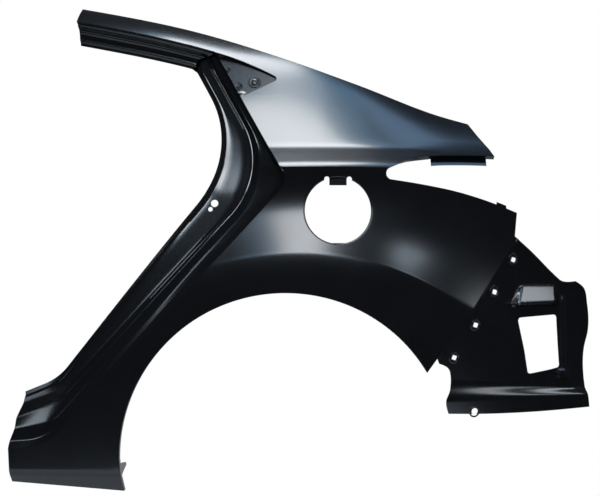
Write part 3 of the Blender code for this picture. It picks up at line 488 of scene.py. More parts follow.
def crease(line, start, end, count):
    """Row of this many points along a crease of the skin, from one point on it to another."""
    x = np.linspace(start[0], end[0], count)
    row = np.column_stack([x, line(x)[1]])
    row[0], row[-1] = start, end
    return row


def join(*rows):
    """Rows of points one after the other, each starting where the last one ends."""
    return np.concatenate([rows[0]] + [row[1:] for row in rows[1:]])


def crossing(first, direction, second, other_direction):
    """Point where two straight lines in the X-Z plane meet."""
    step = np.linalg.solve(np.column_stack([direction, -other_direction]), second - first)[0]
    return first + direction * step


def bend(before, corner, after, radius):
    """Arc that rounds a corner, as a function of the share of its length."""
    back, on = unit(before - corner), unit(after - corner)
    half = math.acos(np.clip(back @ on, -1, 1)) / 2
    centre = corner + unit(back + on) * radius / math.sin(half)
    start = corner + back * radius / math.tan(half) - centre
    end = corner + on * radius / math.tan(half) - centre
    first = math.atan2(start[1], start[0])
    turn = (math.atan2(end[1], end[0]) - first + math.pi) % (2 * math.pi) - math.pi

    def arc(share):
        angle = first + turn * np.asarray(share, float)
        return centre + radius * np.stack([np.cos(angle), np.sin(angle)], axis=-1)

    return arc


def door_line(line):
    """One line of the door aperture, as a function of a station: 0 to 1 is the arm, 1 to 2 the bend at the
    roof, 2 to 3 the pillar, 3 to 4 the bend at the belt, 4 to 5 the dogleg, 5 to 6 the bend above the sill
    and 6 to 7 the sill."""
    down_pillar = heading(PILLAR_LEAN - 90)
    pillar = over_shoulder(PILLAR_POINT) + line.pillar * heading(PILLAR_LEAN + 180)
    down_leg, into_door = -heading(DOGLEG_SLOPE), heading(DOGLEG_SLOPE + 90)
    foot = into_door * (ARCH_RADIUS + LEG_WIDTH)
    leg_top = foot + down_leg * DOGLEG_TOP + into_door * line.leg_top
    leg_foot = foot + down_leg * DOGLEG_FOOT + into_door * line.leg_foot
    sill_end = np.array([line.end_x - ARCH_RADIUS - SILL_LENGTH, line.end_z])
    roof_corner = pillar
    for _ in range(30):
        rail_height = float(roof_line(roof_corner[0])[1]) - line.arm
        roof_corner = pillar + down_pillar * (rail_height - pillar[1]) / down_pillar[1]
    rail_x = roof_corner[0] - RAIL_STEP
    rail_before = np.array([rail_x, float(roof_line(rail_x)[1]) - line.arm])
    belt_corner = crossing(pillar, down_pillar, leg_top, leg_foot - leg_top)
    sill_corner = crossing(leg_top, leg_foot - leg_top, sill_end, heading(line.sill_rise))
    roof_bend = bend(rail_before, roof_corner, belt_corner, line.roof_bend)
    belt_bend = bend(roof_corner, belt_corner, sill_corner, line.belt_bend)
    sill_bend = bend(belt_corner, sill_corner, sill_end, line.sill_bend)
    arm_end = roof_bend(0)
    lift_end = arm_end[1] - float(roof_line(arm_end[0])[1]) + line.arm

    def arm(share):
        x = ARM_FRONT + (arm_end[0] - ARM_FRONT) * share
        return np.stack([x, roof_line(x)[1] - line.arm + lift_end * share], axis=-1)

    def run(start, end):
        return lambda share: start + (end - start) * np.asarray(share)[..., None]

    stretches = (
        arm,
        roof_bend,
        run(roof_bend(1), belt_bend(0)),
        belt_bend,
        run(belt_bend(1), sill_bend(0)),
        sill_bend,
        run(sill_bend(1), sill_end),
    )

    def at(stations):
        stations = np.atleast_1d(np.asarray(stations, float))
        which = np.clip(stations.astype(int), 0, len(stretches) - 1)
        points = np.empty((len(stations), 2))
        for number, stretch in enumerate(stretches):
            points[which == number] = stretch(stations[which == number] - number)
        return points

    return at


def first_crossing(stations, heights):
    """Station at which a row of heights first falls below zero."""
    k = int(np.argmax(heights < 0))
    share = heights[k - 1] / (heights[k - 1] - heights[k])
    return stations[k - 1] + share * (stations[k] - stations[k - 1])


def door_stations():
    """Stations of the door lines' points, and those where the skin's patches meet along the edge."""
    edge = door_line(DOOR_LINES[0])
    fine = np.linspace(0, DOOR_END, 400 * DOOR_END + 1)
    x, z = edge(fine).T
    recess_end = first_crossing(fine, z - over_shoulder(PILLAR_POINT)[1])
    shoulder = first_crossing(fine, z - shoulder_line(x)[1])
    flare = first_crossing(fine, z - flare_line(x)[1])
    marks = sorted({*range(DOOR_END + 1), recess_end, shoulder, flare})
    stations = []
    for start, end in zip(marks, marks[1:]):
        points = edge(np.linspace(start, end, 20))
        length = np.linalg.norm(np.diff(points, axis=0), axis=1).sum()
        pitch = PITCH if int(start) % 2 == 0 else 0.5 * PITCH
        stations.extend(np.linspace(start, end, math.ceil(length / pitch), endpoint=False))
    stations = np.array(stations + [float(DOOR_END)])
    places = (ARM_END, recess_end, shoulder, flare, LEG_END)
    find = [int(np.argmin(abs(stations - place))) for place in places]
    return stations, find


def coons(top, bottom, left, right):
    """Grid of points between four edges: ruled between top and bottom, then bent to meet both sides."""
    v = even(len(left))[:, None, None]
    u = even(len(top))[None, :, None]
    ruled = (1 - v) * top + v * bottom
    return ruled + (1 - u) * (left[:, None] - ruled[:, :1]) + u * (right[:, None] - ruled[:, -1:])


def fold(edge, *moves):
    """Grid of rows that starts at an edge, each row the edge moved by so much."""
    return np.array([edge] + [edge + np.asarray(move, float) for move in moves])


def rear_edge():
    """Corner points of the flank's rear edge: at the notch, at its bend and where it meets the arch."""
    top = over_shoulder(NOTCH_LOWER[-1])
    knee = over_shoulder(REAR_BEND)
    down = -heading(REAR_SLOPE)
    across = knee @ down
    tip = knee + down * (-across - math.sqrt(across**2 - knee @ knee + ARCH_RADIUS**2))
    return top, knee, tip


def blend_rows(table, rows):
    """Values of a table of lines at these places between its rows: straight in between, plus at each inner
    row the parabola that rounds the change of slope over LINE_ROUNDING to each side."""
    table = np.asarray(table, float)
    turns = np.diff(table, 2)
    inner = np.arange(1, len(table) - 1)
    rounding = soften(rows[:, None] - inner, turns, LINE_ROUNDING).sum(axis=1)
    return np.interp(rows, np.arange(len(table)), table) + rounding


def add(name, data):
    """New object of the scene with this data."""
    made = bpy.data.objects.new(name, data)
    bpy.context.scene.collection.objects.link(made)
    return made


def sheet_mesh(grids):
    """Grids of points welded into one open mesh that faces outward: each grid's quads join neighbours (i, j),
    (i, j+1), (i+1, j+1), (i+1, j), and points closer than WELD_DISTANCE become one."""
    points, faces, offset = [], [], 0
    for grid in grids:
        rows, columns = grid.shape[:2]
        k = np.arange(rows * columns).reshape(rows, columns) + offset
        faces.append(np.stack([k[:-1, :-1], k[:-1, 1:], k[1:, 1:], k[1:, :-1]], axis=-1).reshape(-1, 4))
        points.append(grid.reshape(-1, 3))
        offset += rows * columns
    mesh = bpy.data.meshes.new("sheet")
    mesh.from_pydata(np.concatenate(points), [], np.concatenate(faces))
    shape = bmesh.new()
    shape.from_mesh(mesh)
    bmesh.ops.remove_doubles(shape, verts=shape.verts, dist=WELD_DISTANCE)
    bmesh.ops.recalc_face_normals(shape, faces=shape.faces)
    shape.to_mesh(mesh)
    shape.free()
    normals = np.empty(len(mesh.polygons) * 3)
    areas = np.empty(len(mesh.polygons))
    mesh.polygons.foreach_get("normal", normals)
    mesh.polygons.foreach_get("area", areas)
    if normals[1::3] @ areas > 0:
        mesh.flip_normals()
    return mesh


def finish_piece(name, grids, primer, tools=(), raised=()):
    """Pressing from its grids: sheet thickness behind the surface, tools added or cut, then raised rings."""
    piece = add(name, sheet_mesh(grids))
    solidify = piece.modifiers.new("Sheet", "SOLIDIFY")
    solidify.thickness = SHEET
    solidify.offset = -1
    for tool, operation in tools:
        boolean = piece.modifiers.new(tool.name, "BOOLEAN")
        boolean.object = tool
        boolean.operation = operation
        boolean.solver = "EXACT"
    graph = bpy.context.evaluated_depsgraph_get()
    mesh = bpy.data.meshes.new_from_object(piece.evaluated_get(graph))
    piece.modifiers.clear()
    piece.data = mesh
    if raised:
        shape = bmesh.new()
        shape.from_mesh(mesh)
        shape.from_mesh(sheet_mesh(raised))
        shape.to_mesh(mesh)
        shape.free()
    mesh.name = name
    mesh.shade_smooth()
    mesh.set_sharp_from_angle(angle=math.radians(SHARP_ANGLE))
    for tool, _ in tools:
        bpy.data.objects.remove(tool)
    mesh.materials.append(primer)
    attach(piece, "root")
    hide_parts(name)


def prisms(outlines, start=CUT_START, end=CUT_END):
    """Tool of one prism for each outline (x, z), from one depth inboard to another."""
    shape = bmesh.new()
    for outline in outlines:
        face = shape.faces.new([shape.verts.new((x, start, z)) for x, z in outline])
        made = bmesh.ops.extrude_face_region(shape, geom=[face])
        moved = [item for item in made["geom"] if isinstance(item, bmesh.types.BMVert)]
        bmesh.ops.translate(shape, verts=moved, vec=(0, end - start, 0))
    bmesh.ops.recalc_face_normals(shape, faces=shape.faces)
    mesh = bpy.data.meshes.new("tool")
    shape.to_mesh(mesh)
    shape.free()
    return add("tool", mesh)


def disc(x, z, diameter, sides=40):
    """Outline of a round hole: a regular polygon about (x, z)."""
    angles = np.arange(sides) * 2 * math.pi / sides
    return np.column_stack([x + diameter / 2 * np.cos(angles), z + diameter / 2 * np.sin(angles)])


def turned_square(x, z, side, degrees):
    """Outline of a square hole about (x, z), one side at this angle."""
    return [np.array([x, z]) + heading(degrees + 45 + 90 * k) * side / math.sqrt(2) for k in range(4)]


def rounded(corners, radius, count=8):
    """Outline with its corners rounded."""
    corners = [np.array(corner) for corner in corners]
    arcs = []
    for k, corner in enumerate(corners):
        arc = bend(corners[k - 1], corner, corners[(k + 1) % len(corners)], radius)
        arcs.extend(arc(even(count)))
    return arcs


def stations_across(line, stations, edge):
    """Stations of a door line's points straight across from the skin's edge: on the pillar and the dogleg
    those of the nearest points, evened out, and elsewhere the edge's own."""
    fine = np.linspace(*ACROSS_SEARCH, 1441)
    gap = np.linalg.norm(edge[:, None] - door_line(line)(fine), axis=2)
    share = ease((stations - ACROSS_START) / ACROSS_RUN) * ease((ACROSS_END - stations) / ACROSS_RUN)
    matched = stations + share * (fine[gap.argmin(axis=1)] - stations)
    for _ in range(20):
        matched[1:-1] = 0.25 * matched[:-2] + 0.5 * matched[1:-1] + 0.25 * matched[2:]
    return matched


def recess_depth(points):
    """Depth of the recess's flat floor under the skin: a plane hung from its tip, less the skin's own depth,
    and nowhere less than half the depth at the tip."""
    tip = over_shoulder(RECESS_TIP)
    across, up = RECESS_SLOPES
    x, z = points[..., 0], points[..., 2]
    floor = float(skin_depth(*tip)) + RECESS_DEPTH + across * (x - tip[0]) + up * (z - tip[1])
    return np.maximum(floor - skin_depth(x, z), 0.5 * RECESS_DEPTH)


def seat_on(surface, place):
    """Point of a grid that is nearest to a place (x, z), with the directions along its row, up in the surface
    and outward."""
    near = np.linalg.norm(surface[..., ::2] - place, axis=-1)
    i, j = np.unravel_index(near.argmin(), near.shape)
    i, j = np.clip((i, j), 1, np.array(near.shape) - 2)
    right = unit(surface[i, j + 1] - surface[i, j - 1])
    out = unit(np.cross(right, surface[i + 1, j] - surface[i - 1, j]))
    out = out * -np.sign(out[1])
    return surface[i, j], right, np.cross(out, right), out


def turned(seat, right, up, out, radii, heights, sides):
    """Section (radius, height) carried round the outward direction, as a grid of points."""
    angles = np.linspace(0, 2 * math.pi, sides + 1)[:, None, None]
    spread = radii[:, None] * (np.cos(angles) * right + np.sin(angles) * up)
    return seat + spread + heights[:, None] * out


def boss(surface, place, radius):
    """Raised ring round a pip, on a grid of points at a place (x, z)."""
    shares, heights = np.array(BOSS_PROFILE).T
    return turned(*seat_on(surface, place), radius * shares, heights, BOSS_SIDES)


def quarter_panel(primer):
    """Outer pressing: patches between its edges, lifted onto the skin, with rebate and flanges. Gives back
    the tail's wall and the flange under the notch."""
    stations, (recess_start, recess_end, shoulder_end, flare_end, sill_start) = door_stations()
    edge = door_line(DOOR_LINES[0])(stations)
    grids = []

    # The trim recess: its outline in the skin, and how deep its floor lies along that outline
    opening = recess_end - recess_start
    start, tip, end = edge[recess_start], over_shoulder(RECESS_TIP), edge[recess_end]
    tip_bend = bend(start, tip, end, RECESS_TIP_RADIUS)
    side = RECESS_SIDE_COUNT
    upper = straight(start, tip_bend(0), side)
    share = even(side + 1)
    upper[:, 1] += 4 * RECESS_TOP_BOW * share * (1 - share)
    outline = join(upper, tip_bend(even(opening + 1)), straight(tip_bend(1), end, side))
    ramp = ease(OUTLINE_RAMPS * even(len(outline)))
    ramp = ramp * ease(OUTLINE_RAMPS * np.linspace(1, 0, len(outline)))
    middle = (start + tip + end) / 3
    inward = (middle - outline) / np.linalg.norm(middle - outline, axis=1)[:, None]
    spread = 1 + RECESS_TOP_SPREAD * ease(SPREAD_END - np.arange(len(outline)) / side)
    share = even(RECESS_WALL_ROWS)[:, None]
    wall = lift(outline + inward * (RECESS_WALL * spread * ramp)[:, None] * share[..., None])
    wall[..., 1] += recess_depth(wall) * ramp * ease(share)
    grids.append(wall)
    floor_edge = wall[-1]
    door_side = edge[recess_start : recess_end + 1]
    tip_side = floor_edge[side : len(outline) - side, ::2]
    floor = lift(coons(floor_edge[: side + 1, ::2], floor_edge[: -side - 2 : -1, ::2], door_side, tip_side))
    share = even(opening + 1)[:, None]
    shallow = (1 - ease(FLOOR_RAMPS * share) * ease(FLOOR_RAMPS * (1 - share))) * (1 - ramp[: side + 1])
    floor[..., 1] += recess_depth(floor) * (1 - shallow)
    grids.append(floor)
    bosses = [
        boss(floor, over_shoulder(PILLAR_POINT) + (offset, up), diameter / 2)
        for offset, up, diameter in RECESS_BOSSES
    ]

    # Roof rail, pillar and tail, ruled from the roof edge to the door's edge
    inner = join(edge[: recess_start + 1], outline, edge[recess_end : shoulder_end + 1])
    behind = shoulder_end - recess_end
    tail_rear_count = max(2, behind // 6)
    roof_rear_count = (behind - tail_rear_count) // 2
    under_count = behind - tail_rear_count - roof_rear_count
    marks = (ARM_FRONT,) + ROOF_MARKS + (TAIL_REAR[0][0],)
    counts = (recess_start, side, opening, side, roof_rear_count)
    roof = join(*[straight((a, 0), (b, 0), count) for a, b, count in zip(marks, marks[1:], counts)])
    roof[:, 1] = roof_line(roof[:, 0])[1]
    tail_rear = smooth(over_shoulder(TAIL_REAR), tail_rear_count)
    tail_root = (TAIL_ROOT, float(shoulder_line(TAIL_ROOT)[1]))
    under = smooth(np.vstack([over_shoulder(TAIL_UNDER), tail_root]), under_count)
    outer = join(roof, tail_rear, under)
    shoulder = crease(shoulder_line, under[-1], edge[shoulder_end], PILLAR_ROWS + 1)
    grids.append(lift(coons(outer, inner, straight(outer[0], inner[0], PILLAR_ROWS), shoulder)))

    # Flank, as a ring round the filler opening
    rear_top, rear_knee, rear_tip = rear_edge()
    notch_in = (over_shoulder(TAIL_UNDER[-1]), np.array(tail_root))
    notch_out = over_shoulder(NOTCH_LOWER[:2])
    notch_corner = crossing(notch_in[1], notch_in[0] - notch_in[1], notch_out[0], notch_out[1] - notch_out[0])
    notch = bend(notch_in[0], notch_corner, notch_out[1], NOTCH_RADIUS)(even(NOTCH_POINTS))
    notch = np.concatenate([under[-1:], notch])
    notch_lower = smooth(np.vstack([notch[-1:], over_shoulder(NOTCH_LOWER[1:])]), NOTCH_LOWER_COUNT)
    fine = even(400)[:, None]
    slope = rear_knee + (rear_tip - rear_knee) * fine
    flare_share = first_crossing(fine[:, 0], slope[:, 1] - flare_line(slope[:, 0])[1])
    flare_rear = rear_knee + (rear_tip - rear_knee) * flare_share
    rear_upright = straight(rear_top, rear_knee, REAR_UPRIGHT_COUNT)
    rear_sloped = straight(rear_knee, flare_rear, REAR_SLOPED_COUNT)
    flare = crease(flare_line, flare_rear, edge[flare_end], FLARE_POINTS)
    door_side = edge[flare_end : shoulder_end - 1 : -1]
    loop = join(shoulder[::-1], notch, notch_lower, rear_upright, rear_sloped, flare, door_side)
    centre = np.array([FILLER_X, float(shoulder_line(FILLER_X)[1]) - FILLER_ABOVE - FILLER_RADIUS])
    angles = np.unwrap(np.arctan2(loop[:, 1] - centre[1], loop[:, 0] - centre[0]))
    evened = angles[0] + (angles[-1] - angles[0]) * even(len(angles))
    angles = OUTLINE_SHARE * angles + EVEN_SHARE * evened
    around = np.stack([np.cos(angles), np.sin(angles)], axis=-1)
    rim = centre + FILLER_RADIUS * around
    shares = (even(FLANK_ROWS) ** FLANK_CROWDING)[:, None, None]
    grids.append(lift(rim + (loop - rim) * shares))
    roll = np.linspace(0, math.pi / 2, BEND_ROWS)[:, None, None]
    collar = lift(centre + (FILLER_RADIUS - FILLER_BEND * np.sin(roll)) * around)
    collar[..., 1] += FILLER_BEND * (1 - np.cos(roll[..., 0]))
    grids.append(np.concatenate([collar, collar[-1:] + (0, FILLER_FLANGE - FILLER_BEND, 0)]))

    # Flare, dogleg and rocker, from the flare's crease and the door's edge to the arch and the rocker's bend
    leg_count = sill_start - flare_end
    sill_count = len(stations) - 1 - sill_start
    tip_angle = math.atan2(rear_tip[1], rear_tip[0])
    leg_angle = math.atan2(edge[flare_end, 1], edge[flare_end, 0])
    over = np.linspace(tip_angle, leg_angle, len(flare))
    down = np.linspace(leg_angle, math.pi, leg_count - FOOT_COUNT + 1)
    arch_angles = np.concatenate([over, down[1:]])
    arch = ARCH_RADIUS * np.stack([np.cos(arch_angles), np.sin(arch_angles)], axis=-1)
    foot = np.array([FOOT_LEAN - ARCH_RADIUS, sill_bend_line(-ARCH_RADIUS)])
    arch_and_foot = join(arch, straight(arch[-1], foot, FOOT_COUNT))
    bend_x = np.linspace(foot[0], -ARCH_RADIUS - SILL_LENGTH + ROCKER_END_INSET, sill_count + 1)
    rocker_bend = np.column_stack([bend_x, sill_bend_line(bend_x)])
    inner = join(flare, edge[flare_end:])
    outer = join(arch_and_foot, rocker_bend)
    rear = straight(flare[0], arch[0], FLARE_ROWS)
    front = straight(edge[-1], rocker_bend[-1], FLARE_ROWS)
    grids.append(lift(coons(inner, outer, rear, front)))
    rocker_edge = rocker_bend.copy()
    rocker_edge[:, 1] -= np.linspace(SILL_UNDER_REAR, SILL_UNDER_FRONT, len(rocker_edge))
    turned_under = np.linspace(rocker_bend, rocker_edge, ROCKER_ROWS)
    grids.append(lift(turned_under))

    # Stepped rebate of the door aperture, its lines' sizes eased into each other from row to row
    edge_depth = skin_depth(edge[:, 0], edge[:, 1])
    by_station = flow(DOOR_CALM_STATIONS, np.interp(DOOR_CALM_STATIONS, stations, edge_depth), stations)
    below = ease((stations - CALM_START) / CALM_RUN)
    rows = np.append((np.arange(len(DOOR_LINES) - 1)[:, None] + LINE_ROWS).ravel(), len(DOOR_LINES) - 1)
    sizes = np.column_stack([blend_rows(column, rows) for column in np.array(DOOR_LINES).T])
    calm_shares = blend_rows(DOOR_CALM, rows)
    crests = sum(height * np.clip(1 - abs(rows - place) / CREST_WIDTH, 0, 1) for place, height in CRESTS)
    crest_share = 1 - ease((stations - CREST_END) / CREST_FADE)
    rebate = []
    for values, share, crest in zip(sizes, calm_shares, crests):
        line = Line(*values)
        points = door_line(line)(stations_across(line, stations, edge))
        by_height = flow(*np.array(CALM_DEPTH)[::-1].T, points[:, 1] - SHOULDER_HEIGHT)
        calm = (1 - below) * by_station + below * by_height
        depth = (1 - share) * edge_depth + share * calm + line.depth - crest * crest_share
        rebate.append(np.column_stack([points[:, 0], depth, points[:, 1]]))
    rebate[0][recess_start : recess_end + 1] = grids[1][:, 0]
    grids.append(np.array(rebate))

    # Flanges along the free edges
    grids.append(fold(lift(roof), *ROOF_FLANGE_ROWS))
    grids.append(fold(lift(tail_rear), (-0.5 * EDGE_FLANGE, EDGE_FLANGE, 0)))
    lamp_edge = lift(join(under, notch, notch_lower, rear_upright[: UPRIGHT_FLANGE_COUNT + 1]))
    reach = ease((lamp_edge[:, 0] - TAIL_ROOT) / TAIL_WALL_RUN_IN)
    reach[len(under) :] = 0
    wall = lamp_edge.copy()
    wall[:, 1] += EDGE_FLANGE + (TAIL_WALL_DEPTH - EDGE_FLANGE) * reach
    wall[:, 2] -= TAIL_WALL_DROP * reach
    grids.append(np.linspace(lamp_edge, wall, 5))
    lip = lift(join(arch_and_foot, turned_under[:, 0]))
    below_top = FOOT_TAB_TOP - lip[:, 2]
    tab = ease(below_top / FOOT_TAB_RUN_OUT) * ease((FOOT_TAB_HEIGHT - below_top) / FOOT_TAB_RUN_OUT)
    return_depth = LIP_DEPTH + (FOOT_TAB_DEPTH - LIP_DEPTH) * tab
    lip_rows = np.array([lip, lip, lip])
    lip_rows[1, :, 1] += LIP_BEND
    lip_rows[2, :, 1] += return_depth
    grids.append(lip_rows)
    grids.append(fold(lift(rocker_edge), (0, EDGE_FLANGE, 0)))

    cuts = []
    for station, share, diameter in WEB_HOLES:
        near, far = (door_line(line)(station)[0] for line in DOOR_LINES[WEB_LINE : WEB_LINE + 2])
        cuts.append(disc(*(near + share * (far - near)), diameter))
    for side in (-1, 1):
        across = side * (FILLER_TAB_WIDTH + FILLER_RELIEF) / 2
        up = math.sqrt((FILLER_RADIUS - FILLER_BEND) ** 2 - across**2)
        cuts.append(disc(*(centre + (across, up)), FILLER_RELIEF))
    tools = [(prisms(cuts), "DIFFERENCE")]
    outside = FILLER_RADIUS + FILLER_LAP
    for width, low, high, height in (
        (FILLER_TAB_WIDTH, FILLER_RADIUS - FILLER_BEND - FILLER_TAB_LENGTH, outside, FILLER_RADIUS),
        (FILLER_LEDGE_WIDTH, -outside, FILLER_LEDGE_DEPTH - FILLER_RADIUS, -FILLER_RADIUS),
    ):
        y = float(skin_depth(centre[0], centre[1] + height)) + FILLER_FLANGE
        outline = box_outline(centre, width, low, high)
        tools.append((prisms([outline], y - 2.5 * SHEET, y - 1.5 * SHEET), "UNION"))
    finish_piece("quarter_panel", grids, primer, tools, bosses)
    return wall[: len(under)], wall[len(under) + len(notch) - 2 : -UPRIGHT_FLANGE_COUNT]


def box_outline(centre, width, low, high):
    """Rectangle of this width about a centre, between two heights measured from it."""
    half = width / 2
    return centre + np.array([(-half, low), (half, low), (half, high), (-half, high)])


def extension_depth(points):
    """Y of the rear extension: against the skin, then stepped behind it and leaning inboard, with the shelf
    over its foot, the hood over the vent and the rib behind it."""
    x, z = points[..., 0], points[..., 1]
    _, knee, tip = rear_edge()
    down = unit(tip - knee)
    behind = np.array([-down[1], down[0]])
    distance = (points - knee) @ behind
    run = np.clip((points - knee) @ down, 0, np.linalg.norm(tip - knee))
    edge = knee + run[..., None] * down
    hidden = distance < 0
    seat = skin_depth(np.where(hidden, x, edge[..., 0]), np.where(hidden, z, edge[..., 1]))
    y = seat + 1.5 * SHEET + SEAT_GAP + EXTENSION_LEAN * np.clip(distance, 0, None)
    y = y + EXTENSION_STEP * ease(distance / EXTENSION_STEP_WIDTH)
    x, z = x - tip[0], z - tip[1]
    shelf_top = SHELF_TOP - SHELF_SINK * x
    y = y - SHELF_REACH * ease((shelf_top - z) / (shelf_top - SHELF_BOTTOM))
    front, rear = HOOD_FRONT, HOOD_REAR
    splayed = HOOD_SPLAY * np.clip(z - HOOD_LIP, 0, None)
    sides = ease((x - splayed - front[0]) / (front[1] - front[0])) * ease((rear[1] - x) / (rear[1] - rear[0]))
    underside = ease((z - HOOD_LIP + HOOD_UNDERSIDE) / HOOD_UNDERSIDE)
    share = (HOOD_TOP - z) / (HOOD_TOP - HOOD_LIP)
    rise = np.clip(share, 0, 1) + soften(share, 1, HOOD_SOFTNESS) - soften(share - 1, 1, HOOD_SOFTNESS)
    rise = rise * underside
    rib_ends = ease((z - RIB_FOOT) / RIB_RUN_OUT) * ease((RIB_TOP - z) / RIB_RUN_OUT)
    rib = ease(1 - abs(x - RIB_X) / RIB_WIDTH) * rib_ends
    stop = ease((STOP_SIZE[0] - abs(x - STOP_PLACE[0])) / STOP_EDGE)
    stop = stop * ease((STOP_SIZE[1] - abs(z - STOP_PLACE[1])) / STOP_EDGE)
    return y - HOOD_REACH * sides * rise - RIB_REACH * rib - STOP_REACH * stop


def on_extension(points):
    """Points (x, z) put onto the rear extension, as (x, y, z)."""
    return np.stack([points[..., 0], extension_depth(points), points[..., 1]], axis=-1)


def rear_extension(primer):
    """Pressing behind the rear edge: one grid between four edges, with its holes cut and its beads added."""
    _, knee, tip = rear_edge()
    down = unit(tip - knee)
    behind = np.array([-down[1], down[0]])
    hidden_run = np.linalg.norm(tip - knee) - EXTENSION_FOOT_CLEARANCE
    hidden_foot = knee + down * hidden_run - behind * EXTENSION_OVERLAP
    counts = EXTENSION_COLUMN_COUNTS
    hidden = straight(knee + EXTENSION_HIDDEN_TOP, hidden_foot, counts[0])
    bottom = smooth(tip + np.array(EXTENSION_BOTTOM), EXTENSION_ROW_COUNT)
    front = np.vstack([tip + np.array(EXTENSION_FRONT), bottom[:1]])
    left = join(hidden, straight(hidden_foot, front[0], counts[1]), smooth(front, counts[2]))
    top = smooth(knee + np.array((EXTENSION_HIDDEN_TOP,) + EXTENSION_TOP), EXTENSION_ROW_COUNT)
    rear = (top[-1:], top[-1] + EXTENSION_REAR_UPPER, bottom[-1] + EXTENSION_REAR_LOWER, bottom[-1:])
    right = smooth(np.vstack(rear), len(left) - 1)
    squares = []
    for number in range(FIXING_COUNT):
        share = number / (FIXING_COUNT - 1)
        run = FIRST_FIXING + (hidden_run - LAST_FIXING - FIRST_FIXING) * share
        inset = FIRST_FIXING_INSET + (LAST_FIXING_INSET - FIRST_FIXING_INSET) * share
        place = knee + down * run + behind * inset
        squares.append(turned_square(*place, FIXING_HOLE, REAR_SLOPE + FIXING_TURN))
    foot_x = tip[0] + FOOT_HOLE_X
    foot = np.array([foot_x, float(np.interp(foot_x, *bottom.T)) + FOOT_HOLE_RISE])
    cuts = squares + [disc(*foot, FOOT_HOLE), rounded(tip + np.array(VENT), VENT_CORNER)]
    sheet = on_extension(coons(top, bottom, left, right))
    rings = [pad_ring(sheet, np.mean(square, axis=0), FIXING_PAD / 2) for square in squares]
    rings.append(pad_ring(sheet, foot, FOOT_EYE / 2))
    finish_piece("rear_extension", [sheet], primer, [(prisms(cuts), "DIFFERENCE")], rings)


def pad_ring(surface, place, radius):
    """Low bead round a hole at a place (x, z) on a grid of points: half an ellipse carried round the hole."""
    nearest, right, up, out = seat_on(surface, place)
    seat = nearest + (place[0] - nearest[0]) * right / right[0]
    section = np.linspace(0, math.pi, BEND_ROWS)
    radii = radius - BEAD_HALF_WIDTH + BEAD_HALF_WIDTH * np.cos(section)
    return turned(seat, right, up, out, radii, BEAD_HEIGHT * np.sin(section) - BEAD_SINK, BEAD_SIDES)


def at_x(row, x):
    """Points of a row (x, y, z) at these places along X."""
    row = row[np.argsort(row[:, 0])]
    return np.column_stack([x, np.interp(x, row[:, 0], row[:, 1]), np.interp(x, row[:, 0], row[:, 2])])


def lamp_bracket(tail_wall, primer):
    """Strip under the tail: a flange against the tail's wall, then a face that drops from it."""
    wall_slope = TAIL_WALL_DROP / TAIL_WALL_DEPTH
    rear = TAIL_REAR[-1][0] - LAMP_BRACKET_INSET
    end = at_x(tail_wall, np.linspace(rear - LAMP_BRACKET_LENGTH, rear, 80))
    end[:, 2] -= 1.5 * SHEET + SEAT_GAP
    inner = end - (0, LAMP_BRACKET_FLANGE, -LAMP_BRACKET_FLANGE * wall_slope)
    strip = end - (0, LAMP_BRACKET_OUT, LAMP_BRACKET_HEIGHT)
    finish_piece("lamp_bracket", [join(np.linspace(inner, end, 3), np.linspace(end, strip, 5))], primer)


def corner_tab(notch_flange, primer):
    """Small upright plate across the end of the notch's flange."""
    middle = NOTCH_LOWER[-1][0] - CORNER_TAB_INSET
    x = np.linspace(middle - CORNER_TAB_WIDTH / 2, middle + CORNER_TAB_WIDTH / 2, 8)
    seat = at_x(notch_flange, x) + (0, SEAT_GAP, 0)
    plate = np.linspace(seat + (0, 0, CORNER_TAB_RISE), seat - (0, 0, CORNER_TAB_FOOT), 6)
    finish_piece("corner_tab", [plate], primer)


def feed(tree, made, *sources, **inputs):
    """Feed a shader node's inputs, in order or by name, with outputs of other nodes or with values."""
    named = [(name.replace("_", " "), value) for name, value in inputs.items()]
    for key, value in list(enumerate(sources)) + named:
        if isinstance(value, bpy.types.NodeSocket):
            tree.links.new(value, made.inputs[key])
        else:
            made.inputs[key].default_value = value
    return made


def node(tree, kind, *sources, **inputs):
    """New shader node, fed in the same way."""
    return feed(tree, tree.nodes.new(kind), *sources, **inputs)


def reckon(tree, operation, first, second):
    """Output of a node that combines two outputs."""
    made = node(tree, "ShaderNodeMath", first, second)
    made.operation = operation
    return made.outputs[0]


def black_primer():
    """Electro-coated primer: near black, a semi-gloss film with a faint orange peel and an uneven gloss."""
    primer = bpy.data.materials.new("black_primer")
    primer.use_nodes = True
    tree = primer.node_tree
    place = tree.nodes.new("ShaderNodeTexCoord").outputs["Object"]
    cloud = node(tree, "ShaderNodeTexNoise", place, Scale=9.0, Detail=4.0, Roughness=0.6).outputs["Fac"]
    gloss = node(tree, "ShaderNodeMapRange", cloud, To_Min=0.19, To_Max=0.24)
    tint = node(tree, "ShaderNodeValToRGB", cloud)
    stops = ((0.35, (0.0030, 0.0034, 0.0044, 1)), (0.75, (0.0055, 0.0060, 0.0076, 1)))
    for stop, (position, colour) in zip(tint.color_ramp.elements, stops):
        stop.position, stop.color = position, colour
    peel = node(tree, "ShaderNodeTexNoise", place, Scale=420.0, Detail=2.0, Roughness=0.5).outputs["Fac"]
    bump = node(tree, "ShaderNodeBump", Height=peel, Strength=0.025, Distance=0.0004)
    shader = tree.nodes["Principled BSDF"]
    feed(tree, shader, Base_Color=tint.outputs["Color"], Metallic=0.0, Roughness=gloss.outputs["Result"])
    feed(tree, shader, IOR=2.0, Normal=bump.outputs["Normal"])
    feed(tree, shader, Coat_Weight=0.35, Coat_Roughness=0.12, Coat_IOR=1.5)
    return primer


